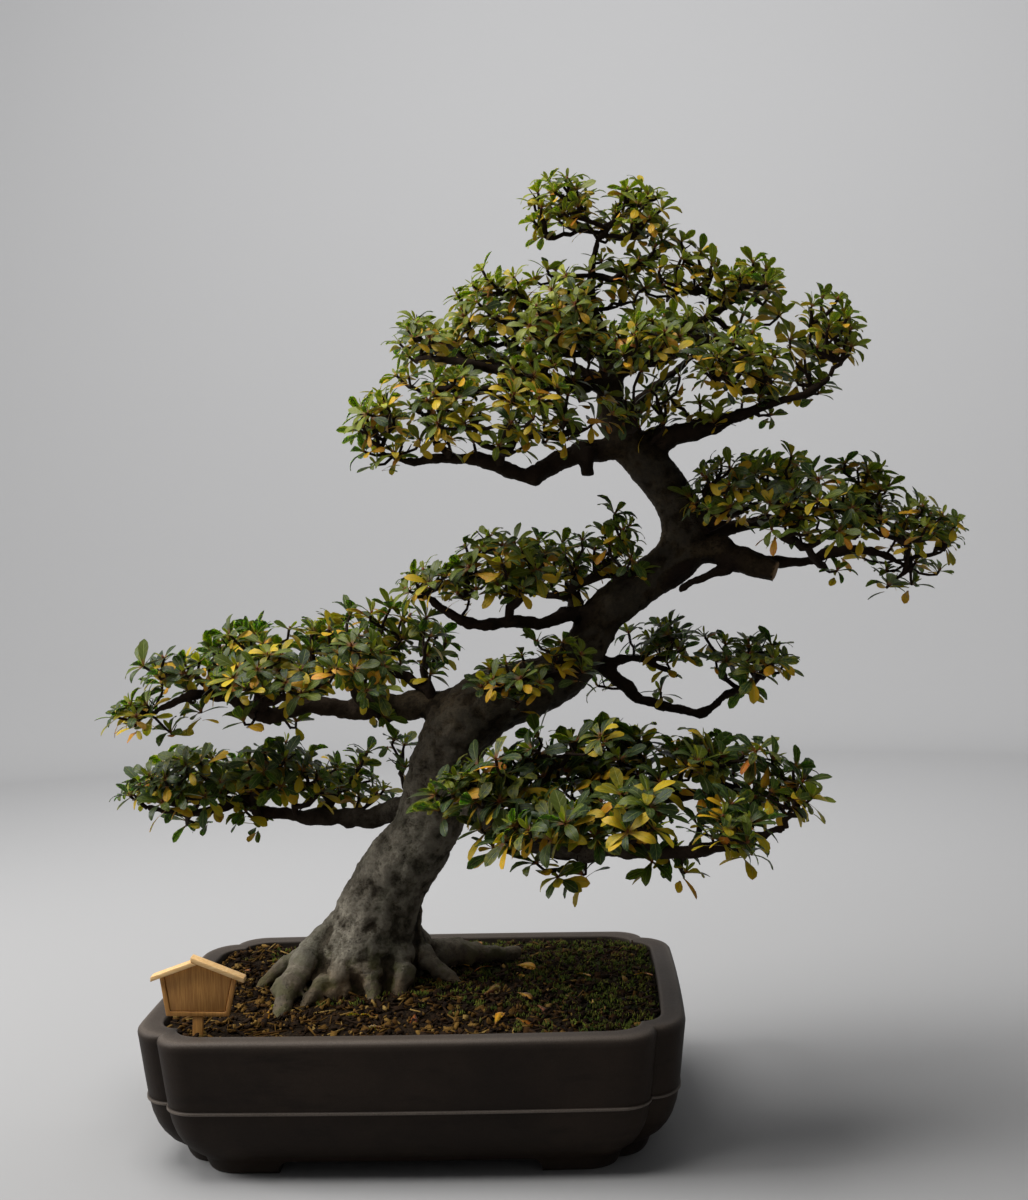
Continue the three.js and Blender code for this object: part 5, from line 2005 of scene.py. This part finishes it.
    def _add_leaf(
        self, kind: LeafKind, hub: Hub, around: float, tilt: float, length: float, tone: float
    ) -> None:
        """Adds a leaf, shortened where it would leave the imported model's box.

        Args:
            kind: Its shape.
            hub: Where it grows from.
            around: The turn about the twig.
            tilt: The angle from the twig in degrees.
            length: The leaf's length in millimetres.
            tone: Its colour.
        """
        axis = hub.axis
        angle = math.radians(tilt)
        level = Matrix.Rotation(around, 3, axis) @ axis.orthogonal().normalized()
        along = axis * math.cos(angle) + level * math.sin(angle)
        face = axis * math.sin(angle) - level * math.cos(angle)
        face = Matrix.Rotation(self.rng.gauss(0, self.whorl.face_spread), 3, along) @ face
        turn = Matrix((along.cross(face), along, face)).transposed().to_4x4()
        foot = Matrix.Translation(hub.place + along * self.whorl.foot * MM)
        pattern = self.leaves[kind]
        for share in self.whorl.shrink:
            matrix = foot @ turn @ Matrix.Scale(length * share / LeafShape.length, 4)
            if self.room.holds(pattern.placed(matrix)):
                self.copies.add(pattern, matrix, tone)
                return


@dataclass(frozen=True)
class Bud:
    """A pointed bud at the end of a twig, as a ball stretched along the twig."""

    radius: float = 1.3
    length: float = 4.2
    stretch: float = 0.6
    sink: float = 0.45

    def model(self) -> Pattern:
        """Models the bud along +Y from its foot."""
        bpy.ops.mesh.primitive_ico_sphere_add(subdivisions=1, radius=1.0)
        bud = bpy.context.object
        bud.scale = Vector((self.radius, self.length * self.stretch, self.radius)) * MM
        bud.location = (0.0, self.length * self.sink * MM, 0.0)
        fix_transform(bud)
        return Pattern.of(bud)


# The ground in the pot


@dataclass(frozen=True)
class Bit:
    """One kind of loose bit: a round grain, or a flat bit where it has proportions.

    A bit is of the first kind whose up_to its draw from 0 to 1 stays under.
    """

    up_to: float
    size: Span
    tip: float
    proportions: Triple | None = None

    def model(self) -> Pattern:
        """Models the bit, a unit long."""
        if self.proportions is None:
            bpy.ops.mesh.primitive_ico_sphere_add(subdivisions=1, radius=0.5)
        else:
            bpy.ops.mesh.primitive_cube_add(size=1.0)
            bpy.context.object.scale = self.proportions
        bit = bpy.context.object
        fix_transform(bit)
        return Pattern.of(bit)


@dataclass
class Soil:
    """The mounded soil and what lies on it.

    The base is the foot of the trunk in plan. Each of the lumps is a size and a height, and tones lie
    along those of the litter's finish, or for fallen leaves along the ages of the leaves' finish.
    """

    frame: PotFrame
    pot: Pot
    rng: random.Random
    bottom: float = 24.6
    bottom_inset: float = 39.0
    wall_level: float = 60.0
    wall_inset: float = 22.8
    rim_inset: float = 21.8
    edge_level: float = 118.5
    mound: float = 6.5
    mound_reach: float = 230.0
    mound_fall: float = 1.3
    base: Span = (-62.0, 18.0)
    half_width: float = 219.0
    half_depth: float = 167.0
    bed_sink: float = 1.0
    top_margin: float = 2.5
    rings: tuple[float, ...] = (0.97, 0.92, 0.84, 0.74, 0.62, 0.5, 0.38, 0.26, 0.14, 0.05)
    lumps: tuple[Span, ...] = ((28.0, 4.0), (8.0, 3.4), (3.0, 1.8))
    side_clear: float = 4.0
    corner: Span = (18.0, 24.0)
    foot_clear: float = 58.0
    dry_turn: float = 0.9
    dry_line: float = 10.0
    dry_blend: float = 55.0
    bit_count: int = 4000
    bit_kinds: tuple[Bit, ...] = (
        Bit(0.30, (2.0, 4.6), 0.9),
        Bit(0.72, (3.5, 9.5), 0.6, (1.0, 0.58, 0.20)),
        Bit(1.00, (8.0, 22.0), 0.3, (1.0, 0.07, 0.06)),
    )
    golden: Span = (0.8, 0.04)
    golden_tones: Triple = (0.34, 0.60, 0.40)
    dark_tones: Span = (0.0, 0.30)
    lift: float = 0.6
    tuft_count: int = 1700
    tuft_blades: int = 7
    tuft_spread: float = 2.4
    root_reach: float = 92.0
    root_bare: float = 0.45
    dry_bare: float = 0.12
    moss_tones: Span = (0.66, 1.0)
    blade: Span = (2.6, 5.2)
    blade_tip: float = 0.3
    leaf_count: int = 46
    leaf_length: Span = (12.0, 24.0)
    leaf_tips: Span = (0.3, 0.5)
    leaf_lift: float = 3.0
    leaf_tones: Span = (0.78, 0.97)

    def level(self, x: float, y: float) -> float:
        """The soil's level at a place in plan."""
        reach = max(abs(x) / self.half_width, abs(y - POT_MIDDLE) / self.half_depth)
        near = self._from_base(x, y) / self.mound_reach
        slope = math.exp(-near * near * self.mound_fall)
        return self.edge_level + self.mound * max(0.0, 1 - reach**3) * slope

    def _from_base(self, x: float, y: float) -> float:
        """The distance in plan from the foot of the trunk."""
        return math.hypot(x - self.base[0], y - self.base[1])

    def build(self, finish: Material) -> None:
        """Builds the soil's body and puts it in place of the plain one."""
        soil = loft("soil_bed", [[self.frame.at(p) for p in ring] for ring in self._body()])
        apply_modifier(soil, "SUBSURF", subdivision_type="SIMPLE", levels=2)
        top = soil.vertex_groups.new(name="top")
        limit = self.frame.origin.z + (self.edge_level - self.top_margin) * MM
        top.add(np.nonzero(points_of(soil.data)[:, 2] > limit)[0].tolist(), 1.0, "REPLACE")
        for size, depth in self.lumps:
            add_relief(soil, "soil", size, depth, "top", direction="Z")
        soil.vertex_groups.clear()
        smooth(soil)
        hand_over(soil, "soil_bed", finish, Slot.SOIL, "soil")

    def _body(self) -> list[list[Triple]]:
        """The rings of the soil's body, up the pot's wall and then in over the mound to the trunk."""
        rows = (
            (self.bottom, self.bottom_inset),
            (self.wall_level, self.wall_inset),
            (self.edge_level - 2 * self.bed_sink, self.rim_inset),
        )
        groove = self.pot.inner_groove
        body = [[(p.x, p.y, z) for p in self.pot.outline(inset, groove)] for z, inset in rows]
        edge = body[-1]
        for share in self.rings:
            ring = []
            for x, y, _ in edge:
                px = self.base[0] + (x - self.base[0]) * share
                py = self.base[1] + (y - self.base[1]) * share
                ring.append((px, py, self.level(px, py) - self.bed_sink))
            body.append(ring)
        return body

    def scatter(self, litter: Material, skin: Material, leaf: Pattern) -> None:
        """Adds bark bits, straw, grit and moss in one finish, and fallen leaves in the leaves' own."""
        for name, copies, finish in (
            ("soil_litter", self._bits(), litter),
            ("soil_moss", self._moss(), litter),
            ("fallen_leaves", self._fallen(leaf), skin),
        ):
            hand_over(copies.build(name), name, finish, Slot.SOIL)

    def _bits(self) -> Copies:
        """Bark chips, straw and grit, golden at the front and the left."""
        shapes = {kind: kind.model() for kind in self.bit_kinds}
        most, least = self.golden
        bits = Copies()
        for _ in range(self.bit_count):
            x, y = self._spot()
            golden = self.rng.random() < most * self._patch(x, y) * self._dry(x, y) + least
            tone = self.rng.triangular(*self.golden_tones) if golden else self.rng.uniform(*self.dark_tones)
            draw = self.rng.random()
            kind = next(kind for kind in self.bit_kinds if draw < kind.up_to)
            size = self.rng.uniform(*kind.size) * MM
            bits.add(shapes[kind], self._laid(x, y, self.lift, (kind.tip, kind.tip), size), tone)
        return bits

    def _moss(self) -> Copies:
        """Tufts of moss, at the right and the back and between the roots."""
        bpy.ops.mesh.primitive_cone_add(
            vertices=3, radius1=0.24, radius2=0.03, depth=1.0, location=(0.0, 0.0, self.blade_tip)
        )
        fix_transform(bpy.context.object)
        blade = Pattern.of(bpy.context.object)
        tips = (self.blade_tip, self.blade_tip)
        moss = Copies()
        for _ in range(self.tuft_count):
            x, y = self._spot()
            among_roots = self._from_base(x, y) < self.root_reach
            if self.rng.random() < (self.root_bare if among_roots else self._dry(x, y) + self.dry_bare):
                continue
            tone = self.rng.uniform(*self.moss_tones)
            for _ in range(self.tuft_blades):
                px = x + self.rng.gauss(0, self.tuft_spread)
                py = y + self.rng.gauss(0, self.tuft_spread)
                size = self.rng.uniform(*self.blade) * MM
                moss.add(blade, self._laid(px, py, self.lift, tips, size), tone)
        return moss

    def _fallen(self, leaf: Pattern) -> Copies:
        """Fallen leaves, tipped on the bits under them."""
        fallen = Copies()
        for _ in range(self.leaf_count):
            x, y = self._spot()
            scale = self.rng.uniform(*self.leaf_length) / LeafShape.length
            matrix = self._laid(x, y, self.leaf_lift, self.leaf_tips, scale)
            fallen.add(leaf, matrix, self.rng.uniform(*self.leaf_tones))
        return fallen

    def _spot(self) -> tuple[float, float]:
        """A place on the soil outside the foot of the trunk."""
        wide = self.half_width - self.side_clear
        deep = self.half_depth - self.side_clear
        while True:
            x = self.rng.uniform(-wide, wide)
            y = POT_MIDDLE + self.rng.uniform(-deep, deep)
            at_side = abs(x) > self.half_width - self.corner[0]
            at_end = abs(y - POT_MIDDLE) > self.half_depth - self.corner[1]
            if not (at_side and at_end) and self._from_base(x, y) > self.foot_clear:
                return x, y

    def _dry(self, x: float, y: float) -> float:
        """The share of dry golden bits, which lie at the front and the left."""
        return 1 / (1 + math.exp((x + self.dry_turn * y - self.dry_line) / self.dry_blend))

    @staticmethod
    def _patch(x: float, y: float) -> float:
        """How thick the golden bits lie at a place, in wavy patches about 3 cm apart."""
        return 0.55 + 0.45 * math.sin(x / 11.0 + 1.3 * math.sin(y / 9.0)) * math.sin(y / 8.0)

    def _laid(self, x: float, y: float, lift: float, tips: Span, scale: float) -> Matrix:
        """The matrix of a bit that lies on the soil, turned anyhow.

        Args:
            x, y: Its place in plan.
            lift: How far it is raised.
            tips: The spread of its tips about its own X and Y.
            scale: Its scale.

        Returns:
            The matrix.
        """
        place = self.frame.at((x, y, self.level(x, y) + lift))
        turn = Matrix.Rotation(self.rng.uniform(0, math.tau), 4, "Z")
        lean = Matrix.Rotation(self.rng.gauss(0, tips[0]), 4, "X")
        lean = lean @ Matrix.Rotation(self.rng.gauss(0, tips[1]), 4, "Y")
        return Matrix.Translation(place) @ turn @ lean @ Matrix.Scale(scale, 4)


# The name plate and the drain screens


@dataclass
class Plate:
    """The small roofed board on its stake, left bare, with eased edges."""

    edge: float = 0.7
    edge_steps: int = 2
    flat_angle: float = 0.5
    sharp_angle: float = 35.0

    def build(self) -> None:
        """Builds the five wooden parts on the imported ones, with the roof of paler boards."""
        board = PlateWood().make("board_wood", (1.0, 1.0, 0.06))
        roof = PlateWood(honey=(0.62, 0.36, 0.13), pale=(0.76, 0.52, 0.25), line=(0.46, 0.24, 0.075))
        rail = roof.make("rail_wood", (0.06, 1.0, 1.0))
        for node in ("plate_board", "plate_surround", "plate_roof_left", "plate_roof_right", "plate_stake"):
            self._ease(node, rail if "roof" in node else board)

    def _ease(self, node: str, finish: Material) -> None:
        """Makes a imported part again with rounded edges.

        Args:
            node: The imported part.
            finish: Its finish.
        """
        piece = bpy.data.objects[node].copy()
        piece.data = piece.data.copy()
        link(piece)
        with editing(piece):
            bpy.ops.mesh.remove_doubles(threshold=WELD)
            bpy.ops.mesh.dissolve_limited(angle_limit=math.radians(self.flat_angle))
        apply_modifier(piece, "BEVEL", width=self.edge * MM, segments=self.edge_steps, limit_method="ANGLE")
        smooth(piece, self.sharp_angle)
        hand_over(piece, node + "_wood", finish, Slot.PLATE_WOOD, node)


@dataclass
class Screens:
    """The two drain screens, which stay as they are packed."""

    nodes: tuple[str, ...] = ("screen_left", "screen_right")

    def build(self, plastic: Material) -> None:
        """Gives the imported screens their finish."""
        for node in self.nodes:
            screen = bpy.data.objects[node]
            screen.data.materials.clear()
            screen.data.materials.append(plastic)
            LOG.info("%s: finished as packed", node)


def main() -> None:
    """Builds the scene in order."""
    logging.basicConfig(level=logging.INFO, format="%(name)s: %(message)s")
    bpy.ops.object.select_all(action="SELECT")
    bpy.ops.object.delete()
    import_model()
    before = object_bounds()
    deselect_all()
    frame = PotFrame.find()
    view = View()
    room = Room(*before)
    bark = Bark().make()
    skin = LeafSkin().make()
    view.build(frame)
    Studio().build()
    pot = Pot(frame)
    pot.build(Stoneware().make())
    wood = Wood(frame)
    wood.build(bark)
    leaves = {kind: kind.value.model(kind.name.lower()) for kind in LeafKind}
    soil = Soil(frame, pot, random.Random(SOIL_SEED))
    soil.build(Ground().make())
    soil.scatter(Litter().make(), skin, leaves[LeafKind.OLD])
    bud = Bud().model()
    for number, pad in enumerate(PADS):
        rng = random.Random(FIRST_PAD_SEED + number)
        Foliage(frame, view, wood, room, pad, leaves, bud, rng).build(skin, bark)
    Plate().build()
    Screens().build(MeshPlastic().make())


if __name__ == "__main__":
    main()
